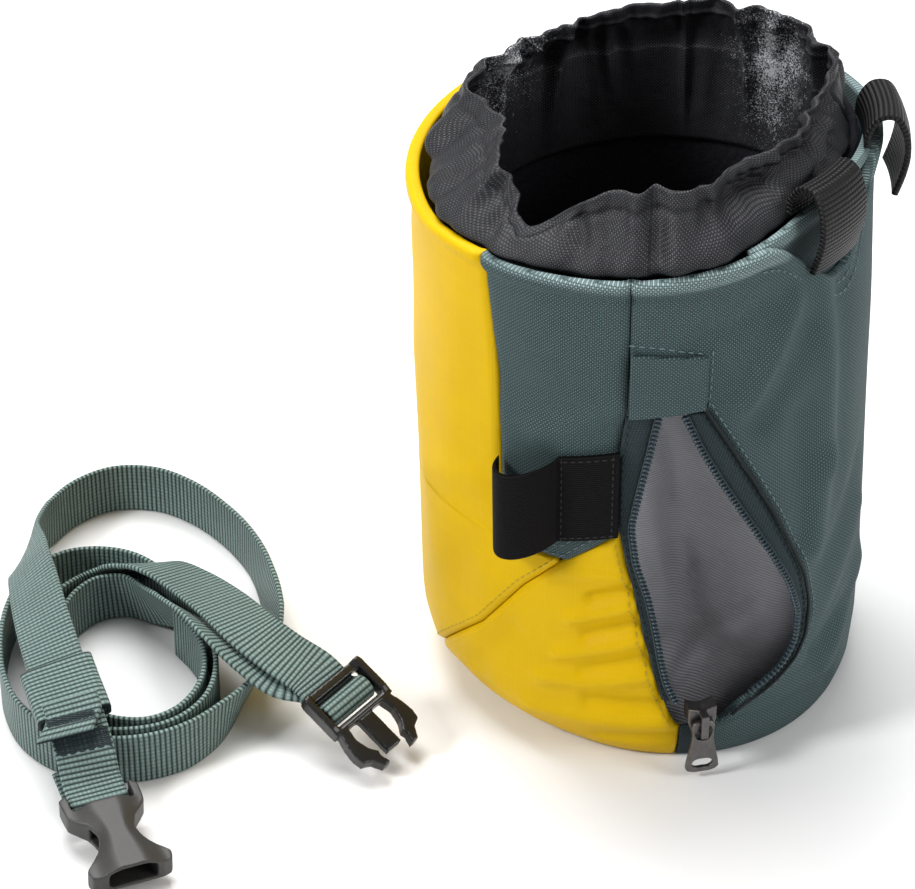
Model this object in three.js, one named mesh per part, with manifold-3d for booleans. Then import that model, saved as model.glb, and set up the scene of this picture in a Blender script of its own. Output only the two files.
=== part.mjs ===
// Climbing chalk bag with a zip pocket, a brush loop and a loose waist belt.
// Millimetres, +Z up. The origin is the middle of the bag's flat bottom.
// Angle 0 on the bag faces -Y, and angles grow toward +X.
import * as THREE from 'three';
import * as BufferGeometryUtils from 'three/addons/utils/BufferGeometryUtils.js';
import Module from 'manifold-3d';

const wasm = await Module();
wasm.setup();

// Driving sizes of the bag
const rimHeight = 149.5;
const rimTilt = 4;
const rimHighAngle = 100;
const rimRadius = 59.5;
const shellWall = 2;
const seamGap = 0.3;
const layerGap = 0.6;
const baseWall = 2.2;
const liningWall = 2;
const liningRoom = 2.9;
const innerWall = 1.2;
const pocketDepth = 19;
const flapWall = 1.1;
const collarWall = 1.3;
const collarGap = 0.95;
const collarRise = 15;
const collarTuck = 26;
const collarRadius = 46.5;
const collarFlare = 1.5;

// Driving sizes of the zip
const coilWidth = 1.7;
const coilWall = 2.2;
const coilLift = 0.8;
const tapeWall = 1;
const tapeSink = 0.3;
const sliderWidth = 7.4;
const sliderLength = 8.6;
const sliderBody = 3.4;
const sliderAngle = 16.5;
const sliderPlace = 0.115;
const bridgeWidth = 2;
const bridgeWall = 1.1;
const bridgeLength = 7;
const bridgeGap = 2;
const pullWall = 1.2;
const pullLength = 15;
const pullTopWidth = 6.6;
const pullTipWidth = 8.6;
const pullClearance = 0.4;

// Driving sizes of the loops
const brushLoopWidth = 26;
const brushLoopWall = 1.6;
const brushLoopBulge = 9;
const beltLoopWidth = 18;
const beltLoopWall = 1.7;
const beltLoopReach = 10;
const beltLoopRise = 9;
const beltLoopDrop = 13;

// Driving sizes of the belt and its buckle
const beltWidth = 15;
const beltWall = 1.4;
const beltReach = 100;
const keeperWall = 1.3;
const buckleWidth = 20.5;
const buckleWall = 3;
const socketLength = 27;
const socketWall = 7.6;
const plugLength = 30;
const barWidth = 2.4;
const slotWidth = 3.2;

const degree = Math.PI / 180;
const sliderHeight = sliderPlace * rimHeight;

// Reads a column of a table between its rows, each row keyed by its first value.
function readTable(rows, key, column, at) {
  if (at <= rows[0][key]) return rows[0][column];
  for (let i = 1; i < rows.length; i += 1) {
    const before = rows[i - 1];
    const after = rows[i];
    if (at <= after[key]) {
      const share = (at - before[key]) / (after[key] - before[key]);
      return before[column] + share * (after[column] - before[column]);
    }
  }
  return rows[rows.length - 1][column];
}

function bump(distance, spread) {
  return Math.exp(-0.5 * (distance / spread) ** 2);
}

function turnBetween(angle, centre) {
  return ((angle - centre + 540) % 360) - 180;
}

// Girth of the shell at each height, as shares of the rim's height and radius.
const girthRows = [
  { height: 0, girth: 0.915 },
  { height: 0.03, girth: 0.94 },
  { height: 0.1, girth: 0.955 },
  { height: 0.45, girth: 0.965 },
  { height: 0.8, girth: 0.98 },
  { height: 1, girth: 1 },
];

// Where the cloth is pushed in (minus) or stands out (plus). The angle and turn are
// degrees, the rest are shares of the rim's height and radius.
const dentRows = [
  { angle: -46, turn: 34, height: -0.02, spread: 0.05, depth: -0.17 },
  { angle: 38, turn: 13, height: 0.36, spread: 0.16, depth: 0.07 },
  { angle: 58, turn: 27, height: 1.02, spread: 0.13, depth: -0.165 },
  { angle: 96, turn: 40, height: 0.72, spread: 0.24, depth: -0.045 },
  { angle: 0, turn: 22, height: 0.45, spread: 0.3, depth: -0.02 },
  { angle: -62, turn: 20, height: 0.62, spread: 0.2, depth: 0.012 },
  { angle: 168, turn: 30, height: 0.5, spread: 0.3, depth: -0.025 },
];

function shellRadius(angle, share) {
  let girth = readTable(girthRows, 'height', 'girth', share);
  for (const dent of dentRows) {
    const across = bump(turnBetween(angle, dent.angle), dent.turn);
    girth += dent.depth * across * bump(share - dent.height, dent.spread);
  }
  return girth * rimRadius;
}

function heightOfRim(angle) {
  return rimHeight + rimTilt * Math.cos((angle - rimHighAngle) * degree);
}

function around(angle, radius, height) {
  return new THREE.Vector3(
    radius * Math.sin(angle * degree), -radius * Math.cos(angle * degree), height);
}

// A place on the shell: the angle, the share of the rim's height, and how far inside
// the outer face it lies.
function onShell(angle, share, inset) {
  return around(angle, shellRadius(angle, share) - inset, share * heightOfRim(angle));
}

// The length of one degree along the shell.
const degreeLength = rimRadius * degree;

function share(height) {
  return height / rimHeight;
}

// A closed sheet over a grid. place(column, row, side) gives a corner, with side 0 on the
// back and 1 on the front. Seen from the front, columns run right and rows run up.
function sheet(columns, rows, place) {
  const points = [];
  for (const side of [0, 1]) {
    for (let i = 0; i <= columns; i += 1) {
      for (let j = 0; j <= rows; j += 1) points.push(place(i, j, side));
    }
  }
  const at = (i, j, side) => (side * (columns + 1) + i) * (rows + 1) + j;
  const faces = [];
  const quad = (a, b, c, d) => faces.push(a, b, c, a, c, d);
  for (let i = 0; i < columns; i += 1) {
    for (let j = 0; j < rows; j += 1) {
      quad(at(i, j, 1), at(i + 1, j, 1), at(i + 1, j + 1, 1), at(i, j + 1, 1));
      quad(at(i, j, 0), at(i, j + 1, 0), at(i + 1, j + 1, 0), at(i + 1, j, 0));
    }
    quad(at(i, 0, 0), at(i + 1, 0, 0), at(i + 1, 0, 1), at(i, 0, 1));
    quad(at(i, rows, 1), at(i + 1, rows, 1), at(i + 1, rows, 0), at(i, rows, 0));
  }
  for (let j = 0; j < rows; j += 1) {
    quad(at(0, j, 0), at(0, j, 1), at(0, j + 1, 1), at(0, j + 1, 0));
    quad(at(columns, j, 1), at(columns, j, 0), at(columns, j + 1, 0), at(columns, j + 1, 1));
  }
  return meshFrom(points, faces);
}

// A closed ring round the axis. place(column, k) gives corner k of its section, which
// goes up the outside and down the inside.
function ring(columns, corners, place) {
  const points = [];
  for (let i = 0; i < columns; i += 1) {
    for (let k = 0; k < corners; k += 1) points.push(place(i, k));
  }
  const at = (i, k) => (i % columns) * corners + (k % corners);
  const faces = [];
  for (let i = 0; i < columns; i += 1) {
    for (let k = 0; k < corners; k += 1) {
      faces.push(at(i, k), at(i + 1, k + 1), at(i, k + 1));
      faces.push(at(i, k), at(i + 1, k), at(i + 1, k + 1));
    }
  }
  return meshFrom(points, faces);
}

// A closed form round the axis whose section starts and ends on the axis.
function bowl(columns, corners, place) {
  const points = [place(0, 0), place(0, corners - 1)];
  for (let i = 0; i < columns; i += 1) {
    for (let k = 1; k < corners - 1; k += 1) points.push(place(i, k));
  }
  const at = (i, k) => {
    if (k === 0) return 0;
    if (k === corners - 1) return 1;
    return 2 + (i % columns) * (corners - 2) + k - 1;
  };
  const faces = [];
  for (let i = 0; i < columns; i += 1) {
    for (let k = 0; k < corners - 1; k += 1) {
      if (k < corners - 2) faces.push(at(i, k), at(i + 1, k + 1), at(i, k + 1));
      if (k > 0) faces.push(at(i, k), at(i + 1, k), at(i + 1, k + 1));
    }
  }
  return meshFrom(points, faces);
}

function meshFrom(points, faces) {
  const geometry = new THREE.BufferGeometry();
  geometry.setAttribute('position', new THREE.BufferAttribute(
    new Float32Array(points.flatMap((point) => point.toArray())), 3));
  geometry.setIndex(faces);
  return geometry;
}

// Joins and cuts of closed meshes
function toSolid(geometry) {
  const bare = geometry.clone();
  bare.deleteAttribute('normal');
  bare.deleteAttribute('uv');
  const merged = BufferGeometryUtils.mergeVertices(bare, 1e-4);
  return new wasm.Manifold(new wasm.Mesh({
    numProp: 3,
    vertProperties: new Float32Array(merged.attributes.position.array),
    triVerts: new Uint32Array(merged.index.array),
  }));
}

function fromSolid(solid) {
  const mesh = solid.getMesh();
  const geometry = new THREE.BufferGeometry();
  geometry.setAttribute('position', new THREE.BufferAttribute(
    new Float32Array(mesh.vertProperties), 3));
  geometry.setIndex(Array.from(mesh.triVerts));
  return geometry;
}

function cutAway(geometry, cutters) {
  let solid = toSolid(geometry);
  for (const cutter of cutters) solid = solid.subtract(toSolid(cutter));
  return fromSolid(solid);
}

function joinAll(geometries) {
  let solid = toSolid(geometries[0]);
  for (const other of geometries.slice(1)) solid = solid.add(toSolid(other));
  return fromSolid(solid);
}

function block(x0, x1, y0, y1, z0, z1) {
  const geometry = new THREE.BoxGeometry(x1 - x0, y1 - y0, z1 - z0);
  geometry.translate((x0 + x1) / 2, (y0 + y1) / 2, (z0 + z1) / 2);
  return geometry;
}

// Materials
function material(colour, roughness, metalness = 0) {
  return new THREE.MeshStandardMaterial({ color: colour, roughness, metalness });
}

const finishes = {
  yellowNylon: () => material(0xe0bd18, 0.6),
  tealFabric: () => material(0x4e6467, 0.85),
  blackFleece: () => material(0x17181b, 0.95),
  darkNylon: () => material(0x2b2d33, 0.55),
  greyTwill: () => material(0x76767d, 0.8),
  zipTape: () => material(0x2f4249, 0.8),
  zipCoil: () => material(0x35484f, 0.45),
  gunmetal: () => material(0x6b6766, 0.35, 0.9),
  blackWebbing: () => material(0x17161a, 0.8),
  tealWebbing: () => material(0x5d7b7a, 0.8),
  greyPlastic: () => material(0x5c5a57, 0.6),
  darkPlastic: () => material(0x2c2825, 0.45),
};

const chalkBag = new THREE.Group();

function addPiece(name, geometry, finish, parent = chalkBag) {
  const piece = new THREE.Mesh(geometry, finish());
  piece.name = name;
  parent.add(piece);
  return piece;
}

// Seams of the shell. Angles are degrees, heights are shares of the rim's height.
const frontSeamRows = [
  { height: 0, angle: -79 },
  { height: 0.0696, angle: -68.6 },
  { height: 0.2227, angle: -44.8 },
  { height: 0.3478, angle: -31 },
  { height: 0.4247, angle: -20 },
  { height: 0.4361, angle: -37.5 },
  { height: 0.6288, angle: -37.8 },
  { height: 0.8227, angle: -39.5 },
  { height: 1, angle: -42.5 },
];
const backSeam = 210;

// Edges of the zip at each height: where the cloth stops and where the teeth run.
const zipRows = [
  { height: 0.0836, clothLeft: 11.2, teethLeft: 14.6, teethRight: 18.4, clothRight: 22.4 },
  { height: 0.1171, clothLeft: 8.6, teethLeft: 12.4, teethRight: 22, clothRight: 28 },
  { height: 0.1405, clothLeft: 6.8, teethLeft: 9.6, teethRight: 29.5, clothRight: 35 },
  { height: 0.1806, clothLeft: 5.2, teethLeft: 7, teethRight: 38.6, clothRight: 42.2 },
  { height: 0.2274, clothLeft: 3.4, teethLeft: 5.4, teethRight: 42, clothRight: 45 },
  { height: 0.2943, clothLeft: 1, teethLeft: 3.7, teethRight: 41.6, clothRight: 44.6 },
  { height: 0.3679, clothLeft: -1.2, teethLeft: 1.4, teethRight: 38, clothRight: 41.8 },
  { height: 0.4415, clothLeft: -4, teethLeft: -2, teethRight: 32.8, clothRight: 37.2 },
  { height: 0.5151, clothLeft: -6, teethLeft: -3.4, teethRight: 26.8, clothRight: 32.6 },
  { height: 0.5953, clothLeft: -6.2, teethLeft: -1.4, teethRight: 20.2, clothRight: 26.6 },
  { height: 0.6689, clothLeft: -6, teethLeft: 0.6, teethRight: 14.6, clothRight: 20.6 },
  { height: 0.7492, clothLeft: -4.6, teethLeft: 2.6, teethRight: 9.6, clothRight: 13.8 },
];
const zipBottom = zipRows[0].height;
const zipTop = zipRows[zipRows.length - 1].height;
const upperSeam = -4.3;
const endTabLeft = 12.1;
const endTabRight = 17.6;

function zipEdge(column, height) {
  return readTable(zipRows, 'height', column, height);
}

function frontSeam(height) {
  return readTable(frontSeamRows, 'height', 'angle', height);
}

function leftOfZip(height) {
  if (height > zipTop) return upperSeam;
  if (height < zipBottom) return endTabLeft;
  return zipEdge('clothLeft', height);
}

function rightOfZip(height) {
  if (height > zipTop) return upperSeam;
  if (height < zipBottom) return endTabRight;
  return zipEdge('clothRight', height);
}

// A cloth panel between two upright seams. Its rows are listed as shares of its height,
// low and high give the ends of each column, and half a seam's gap is left all round.
function panel({ left, right, columns, rows, low = () => 0, high = () => 1, inset = 0, wall }) {
  const edge = seamGap / 2;
  return sheet(columns, rows.length - 1, (i, j, side) => {
    const across = i / columns;
    const bottom = low(across) + (low(across) > 0 ? share(edge) : 0);
    const top = high(across) - share(edge);
    const height = bottom + rows[j] * (top - bottom);
    const from = left(height) + edge / degreeLength;
    const to = right(height) - edge / degreeLength;
    return onShell(from + across * (to - from), height, inset + (side === 0 ? wall : 0));
  });
}

function evenRows(count) {
  return Array.from({ length: count + 1 }, (_, i) => i / count);
}

// Front panel: yellow nylon from the back seam round to the seam beside the brush loop
const tongueTop = 0.4381;
const tongueTip = 0.4247;
const diagonalRows = [0, 0.035, 0.0696, 0.1, 0.13, 0.16, 0.19, 0.2227, 0.25, 0.28, 0.314,
  0.3478, 0.375, 0.4];
const frontRows = [...diagonalRows, tongueTip, tongueTop, 0.53, 0.63, 0.75, 0.88, 1];
addPiece('front_panel', panel({
  left: () => backSeam - 360,
  right: frontSeam,
  columns: 13,
  rows: frontRows,
  wall: shellWall,
}), finishes.yellowNylon);

// Lower panel: yellow nylon under the brush panel, up to the left edge of the zip
const brushPanelLow = [
  { across: 0, height: 0.4381 },
  { across: 0.55, height: 0.4268 },
  { across: 1, height: 0.497 },
];
addPiece('lower_panel', panel({
  left: (height) => frontSeam(Math.min(height, tongueTip)),
  right: leftOfZip,
  columns: 12,
  rows: [...diagonalRows, tongueTip].map((row) => row / tongueTip),
  high: (across) => tongueTip + across * 0.0702,
  wall: shellWall,
}), finishes.yellowNylon);

// Brush panel: teal cloth above it, which carries the brush loop
addPiece('brush_panel', panel({
  left: (height) => (height < tongueTop ? -37.5 : frontSeam(height)),
  right: leftOfZip,
  columns: 6,
  rows: [0, 0.12, 0.25, 0.4, 0.5, 0.62, 0.8, 0.92, 1],
  low: (across) => readTable(brushPanelLow, 'across', 'height', across),
  wall: shellWall,
}), finishes.tealFabric);

// Side panel: teal cloth from the zip round to the back seam. Its top edge scoops down
// behind the belt loops, where the yoke shows.
const scoopAngle = 62;
const scoopTurn = 34;
const scoopDepth = 0.13;
function scoop(angle) {
  const turn = Math.min(1, Math.abs(angle - scoopAngle) / scoopTurn);
  return scoopDepth * 0.5 * (1 + Math.cos(Math.PI * turn));
}
const sideColumns = 24;
const sideRows = [0, 0.03, 0.0825, 0.0845, 0.117, 0.14, 0.18, 0.227, 0.294, 0.368, 0.441,
  0.515, 0.595, 0.669, 0.7487, 0.7513, 0.84, 0.92, 1];
const scoopStart = 0.72;
addPiece('side_panel', sheet(sideColumns, sideRows.length - 1, (i, j, side) => {
  const row = sideRows[j];
  const edge = seamGap / 2 / degreeLength;
  const from = rightOfZip(row) + edge;
  const angle = from + (i / sideColumns) * (backSeam - edge - from);
  const lowered = scoop(angle) * Math.max(0, (row - scoopStart) / (1 - scoopStart));
  return onShell(angle, row * (1 - share(seamGap / 2)) - lowered, side === 0 ? shellWall : 0);
}), finishes.tealFabric);

// Rear yoke: teal band inside the scooped edge, up to the rim
const yokeInset = shellWall + layerGap;
addPiece('rear_yoke', panel({
  left: () => scoopAngle - scoopTurn - 2,
  right: () => scoopAngle + scoopTurn + 2,
  columns: 10,
  rows: evenRows(4),
  low: () => 0.8027,
  inset: yokeInset,
  wall: innerWall,
}), finishes.tealFabric);

// Base disc: stiff round bottom inside the lower edge of the panels
const baseColumns = 40;
addPiece('base_disc', bowl(baseColumns, 4, (i, k) => {
  const angle = i * 360 / baseColumns;
  const radius = shellRadius(angle, 0) - shellWall - seamGap;
  const height = k < 2 ? 0 : baseWall;
  return around(angle, k === 0 || k === 3 ? 0 : radius, height);
}), finishes.tealFabric);

// Depth of the open pocket behind the zip, none outside its outline
const pocketLeft = -10;
const pocketRight = 48;
const pocketLow = 0.045;
const pocketHigh = 0.8;
function pocketHollow(angle, height) {
  const across = (turnBetween(angle, 0) - pocketLeft) / (pocketRight - pocketLeft);
  const up = (height - pocketLow) / (pocketHigh - pocketLow);
  if (across <= 0 || across >= 1 || up <= 0 || up >= 1) return 0;
  return pocketDepth * Math.sin(Math.PI * across) ** 1.2 * Math.sin(Math.PI * up ** 0.85);
}

// Pocket lining: grey twill pouch, held at its edges behind the shell
const pocketInset = shellWall + layerGap;
const pocketColumns = 12;
const pocketRows = 12;
addPiece('pocket_lining', sheet(pocketColumns, pocketRows, (i, j, side) => {
  const angle = pocketLeft + (i / pocketColumns) * (pocketRight - pocketLeft);
  const height = pocketLow + (j / pocketRows) * (pocketHigh - pocketLow);
  const depth = pocketInset + pocketHollow(angle, height);
  return onShell(angle, height, depth + (side === 0 ? innerWall : 0));
}), finishes.greyTwill);

// Lining: black fleece cup inside the bag, pressed in behind the pocket
const liningInset = shellWall + liningRoom;
const liningColumns = 40;
const liningRows = [0, 0.06, 0.14, 0.24, 0.34, 0.44, 0.54, 0.64, 0.74, 0.84, 0.93, 1];
const liningFloor = baseWall + seamGap;
const liningTop = 0.0067;
function liningCorner(angle, row, inner) {
  const height = share(liningFloor) + row * (1 - liningTop - share(liningFloor));
  const inset = liningInset + (inner ? liningWall : 0) + pocketHollow(angle, height);
  const corner = onShell(angle, height, inset);
  if (inner && row === 0) corner.z = liningFloor + liningWall;
  if (!inner && row === 0) corner.z = liningFloor;
  return corner;
}
const liningCorners = 2 * liningRows.length + 2;
addPiece('lining', bowl(liningColumns, liningCorners, (i, k) => {
  const angle = i * 360 / liningColumns;
  if (k === 0) return new THREE.Vector3(0, 0, liningFloor);
  if (k === liningCorners - 1) return new THREE.Vector3(0, 0, liningFloor + liningWall);
  if (k <= liningRows.length) return liningCorner(angle, liningRows[k - 1], false);
  return liningCorner(angle, liningRows[liningCorners - 2 - k], true);
}), finishes.blackFleece);

// Collar: dark nylon sewn inside the rim, standing up and falling inward in folds.
// The angle and turn are degrees, and the depth is a share of the collar's radius.
const collarFoldRows = [
  { angle: 1, turn: 4, depth: 0.035 },
  { angle: 38, turn: 15, depth: 0.27 },
  { angle: 78, turn: 15, depth: 0.15 },
  { angle: -12, turn: 5, depth: 0.05 },
  { angle: -38, turn: 9, depth: -0.04 },
  { angle: -58, turn: 8, depth: 0.05 },
  { angle: -78, turn: 8, depth: 0.19 },
  { angle: -104, turn: 10, depth: -0.04 },
  { angle: -141, turn: 14, depth: 0.03 },
  { angle: 171, turn: 12, depth: -0.025 },
  { angle: 142, turn: 16, depth: -0.07 },
];
const collarDipRows = [
  { angle: -37, turn: 10, drop: 0.62 },
  { angle: -6, turn: 12, drop: -0.1 },
  { angle: 38, turn: 14, drop: 0.2 },
  { angle: 78, turn: 16, drop: 0.12 },
  { angle: -95, turn: 24, drop: -0.05 },
];

// How far the cloth stands out between the rim and the hem, as shares of the radius
const collarPuff = 0.02;
const collarPuffRows = [
  { angle: -80, turn: 20, out: 0.15 },
  { angle: -30, turn: 24, out: 0.04 },
  { angle: 10, turn: 13, out: 0.09 },
];
const collarColumns = 47;

// Rows of the collar: shares of the tuck below the rim, then of the free cloth above it
const collarRows = [-1, -0.5, 0, 0.12, 0.3, 0.5, 0.7, 0.87, 1];
const collarInset = liningInset + liningWall + collarGap;

function collarTopRadius(angle) {
  let radius = 1;
  for (const fold of collarFoldRows) {
    radius -= fold.depth * bump(turnBetween(angle, fold.angle), fold.turn);
  }
  return radius * collarRadius;
}

function collarTopHeight(angle) {
  let rise = 1;
  for (const dip of collarDipRows) {
    rise -= dip.drop * bump(turnBetween(angle, dip.angle), dip.turn);
  }
  return heightOfRim(angle) + rise * collarRise;
}

function collarStandOut(angle) {
  let out = collarPuff;
  for (const puff of collarPuffRows) {
    out += puff.out * bump(turnBetween(angle, puff.angle), puff.turn);
  }
  return out * collarRadius;
}

function collarCorner(angle, row, inner) {
  const rim = heightOfRim(angle);
  const height = rim + row * (row < 0 ? collarTuck : collarTopHeight(angle) - rim);
  const tucked = shellRadius(angle, Math.min(1, height / rim)) - collarInset;
  const free = Math.max(0, row);
  const top = Math.min(collarTopRadius(angle), tucked + collarFlare);
  const lean = Math.sin(free * Math.PI / 2) * (top - tucked);
  const radius = tucked + lean + collarStandOut(angle) * Math.sin(Math.PI * free ** 0.6);
  return around(angle, radius - (inner ? collarWall : 0), height);
}

addPiece('collar', ring(collarColumns, 2 * collarRows.length, (i, k) => {
  const angle = i * 360 / collarColumns;
  const inner = k >= collarRows.length;
  const row = inner ? collarRows[2 * collarRows.length - 1 - k] : collarRows[k];
  return collarCorner(angle, row, inner);
}), finishes.darkNylon);

// Zip flap: teal patch sewn over the top end of the zip
addPiece('zip_flap', panel({
  left: () => upperSeam + 0.4,
  right: () => 14.4,
  columns: 3,
  rows: evenRows(2),
  low: () => 0.7385,
  high: () => 0.8662,
  inset: -flapWall - seamGap,
  wall: flapWall,
}), finishes.tealFabric);

// Zip tapes and teeth, each from above the slider to under the flap
const stripRows = 12;
const stripLow = share(sliderHeight + sliderLength / 2 + seamGap);
const stripHigh = 0.7358;
const gapAngle = seamGap / degreeLength;
const coilAngle = coilWidth / degreeLength;

function zipStrip(name, from, to, inset, wall, finish) {
  addPiece(name, sheet(1, stripRows, (i, j, side) => {
    const height = stripLow + (j / stripRows) * (stripHigh - stripLow);
    const angle = i === 0 ? from(height) : to(height);
    return onShell(angle, height, inset + (side === 0 ? wall : 0));
  }), finish);
}

zipStrip('zip_tape_left',
  (height) => zipEdge('clothLeft', height) + gapAngle,
  (height) => zipEdge('teethLeft', height) - gapAngle,
  tapeSink, tapeWall, finishes.zipTape);
zipStrip('zip_tape_right',
  (height) => zipEdge('teethRight', height) + gapAngle,
  (height) => zipEdge('clothRight', height) - gapAngle,
  tapeSink, tapeWall, finishes.zipTape);
zipStrip('zip_coil_left',
  (height) => zipEdge('teethLeft', height),
  (height) => zipEdge('teethLeft', height) + coilAngle,
  -coilLift, coilWall, finishes.zipCoil);
zipStrip('zip_coil_right',
  (height) => zipEdge('teethRight', height) - coilAngle,
  (height) => zipEdge('teethRight', height),
  -coilLift, coilWall, finishes.zipCoil);

// Zip end tab: the joined tape ends under the slider
addPiece('zip_end_tab', panel({
  left: () => endTabLeft,
  right: () => endTabRight,
  columns: 2,
  rows: evenRows(2),
  low: () => 0.0013,
  high: () => share(sliderHeight - sliderLength / 2 - seamGap),
  inset: tapeSink,
  wall: innerWall,
}), finishes.zipTape);

// Slider and pull: a group at the slider's middle, +Z up the zip and -Y out of the bag
const sliderGroup = new THREE.Group();
const sliderFace = shellRadius(sliderAngle, sliderPlace) + sliderBody;
sliderGroup.position.copy(around(sliderAngle, sliderFace, sliderHeight));
sliderGroup.rotation.z = sliderAngle * degree;
chalkBag.add(sliderGroup);

// The slider's wedge body and its bridge, whose arch traps the top bar of the pull
const wedge = new THREE.Shape();
wedge.moveTo(-sliderWidth / 2, sliderLength / 2);
wedge.lineTo(-sliderWidth / 2, 0);
wedge.lineTo(-sliderWidth * 0.3, -sliderLength / 2);
wedge.lineTo(sliderWidth * 0.3, -sliderLength / 2);
wedge.lineTo(sliderWidth / 2, 0);
wedge.lineTo(sliderWidth / 2, sliderLength / 2);
wedge.lineTo(0, sliderLength * 0.36);
wedge.closePath();
const wedgeDepth = sliderBody + 1;
const wedgeGeometry = new THREE.ExtrudeGeometry(wedge, { depth: wedgeDepth, bevelEnabled: false });
wedgeGeometry.rotateX(Math.PI / 2);
wedgeGeometry.translate(0, wedgeDepth, 0);
const bridgeOuter = block(-bridgeWidth / 2, bridgeWidth / 2,
  -bridgeGap - bridgeWall, 0.5, -bridgeLength / 2, bridgeLength / 2);
const bridgeArch = block(-bridgeWidth, bridgeWidth,
  -bridgeGap, 0, -bridgeLength / 2 + bridgeWall, bridgeLength / 2 - bridgeWall);
const bridge = cutAway(bridgeOuter, [bridgeArch]);
addPiece('zip_slider', joinAll([wedgeGeometry, bridge]), finishes.gunmetal, sliderGroup);

// The pull hangs from the bridge: a tapered plate with a window round the bridge's
// lower post and a slot near its tip
const hingeDepth = -pullClearance - pullWall / 2;
const windowWidth = bridgeWidth + 2 * pullClearance + 0.8;
const windowLength = bridgeLength / 2 + pullClearance + 1;
const pullShape = new THREE.Shape();
pullShape.moveTo(-pullTopWidth / 2, pullWall / 2);
pullShape.lineTo(-pullTopWidth / 2, -pullLength * 0.36);
pullShape.lineTo(-pullTipWidth / 2, -pullLength * 0.9);
pullShape.lineTo(-pullTipWidth * 0.36, -pullLength);
pullShape.lineTo(pullTipWidth * 0.36, -pullLength);
pullShape.lineTo(pullTipWidth / 2, -pullLength * 0.9);
pullShape.lineTo(pullTopWidth / 2, -pullLength * 0.36);
pullShape.lineTo(pullTopWidth / 2, pullWall / 2);
pullShape.closePath();

function rectangleHole(halfWidth, top, bottom) {
  const hole = new THREE.Path();
  hole.moveTo(-halfWidth, bottom);
  hole.lineTo(halfWidth, bottom);
  hole.lineTo(halfWidth, top);
  hole.lineTo(-halfWidth, top);
  hole.closePath();
  return hole;
}
pullShape.holes.push(rectangleHole(windowWidth / 2, -pullWall / 2, -windowLength));
pullShape.holes.push(rectangleHole(pullTipWidth * 0.2, -pullLength * 0.5, -pullLength * 0.86));
const pullGeometry = new THREE.ExtrudeGeometry(pullShape, { depth: pullWall, bevelEnabled: false });
pullGeometry.rotateX(Math.PI / 2);
pullGeometry.translate(0, pullWall / 2, 0);
const pull = addPiece('zip_pull', pullGeometry, finishes.gunmetal, sliderGroup);
pull.position.y = hingeDepth;

// Brush loop: wide elastic, flat beside the zip and standing out in a loop at its left end
const brushLoopRows = [
  { across: 0, angle: -36.8, low: 0.4415, out: 0 },
  { across: 0.5, angle: -20.6, low: 0.4749, out: 0 },
  { across: 1, angle: -5.6, low: 0.4983, out: 0 },
];
const brushLoopColumns = 16;
addPiece('brush_loop', sheet(brushLoopColumns, 2, (i, j, side) => {
  const across = i / brushLoopColumns;
  const angle = readTable(brushLoopRows, 'across', 'angle', across);
  const low = readTable(brushLoopRows, 'across', 'low', across);
  const arch = across < 0.5 ? Math.sin(Math.PI * across * 2) ** 0.7 : 0;
  const lift = seamGap + brushLoopBulge * arch + (side === 1 ? brushLoopWall : 0);
  return onShell(angle, low + share(brushLoopWidth) * j / 2, -lift);
}), finishes.blackWebbing);

// Belt loops: webbing that rises from the rim, arches outward and comes down to the
// scooped edge. Reach is a share of the loop's reach, rise of its rise or drop.
const beltLoopRows = [
  { out: 0, up: 0 },
  { out: 0.04, up: 0.5 },
  { out: 0.3, up: 0.95 },
  { out: 0.66, up: 0.95 },
  { out: 0.93, up: 0.42 },
  { out: 1, up: -0.15 },
  { out: 0.93, up: -0.55 },
  { out: 0.76, up: -1 },
];
const beltLoopAngles = { belt_loop_front: 55, belt_loop_rear: 96 };
const loopSteps = 14;
const loopColumns = 3;

function beltLoopPath(angle) {
  const rim = heightOfRim(angle);
  const seat = shellRadius(angle, 1) - yokeInset - innerWall / 2;
  return new THREE.CatmullRomCurve3(beltLoopRows.map((row, index) => {
    const climb = row.up > 0 ? row.up * beltLoopRise : row.up * beltLoopDrop;
    const foot = index === 0 ? layerGap : 0;
    return new THREE.Vector3(seat + row.out * beltLoopReach, 0, rim + climb + foot);
  }), false, 'centripetal');
}

for (const [name, angle] of Object.entries(beltLoopAngles)) {
  const path = beltLoopPath(angle);
  addPiece(name, sheet(loopSteps, loopColumns, (i, j, side) => {
    const along = path.getPoint(i / loopSteps);
    const heading = path.getTangent(i / loopSteps);
    const offset = (side - 0.5) * beltLoopWall;
    const radius = along.x - heading.z * offset;
    const height = along.z + heading.x * offset;
    const turn = (j / loopColumns - 0.5) * beltLoopWidth / radius / degree;
    return around(angle + turn, radius, height);
  }), finishes.blackWebbing);
}

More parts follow.
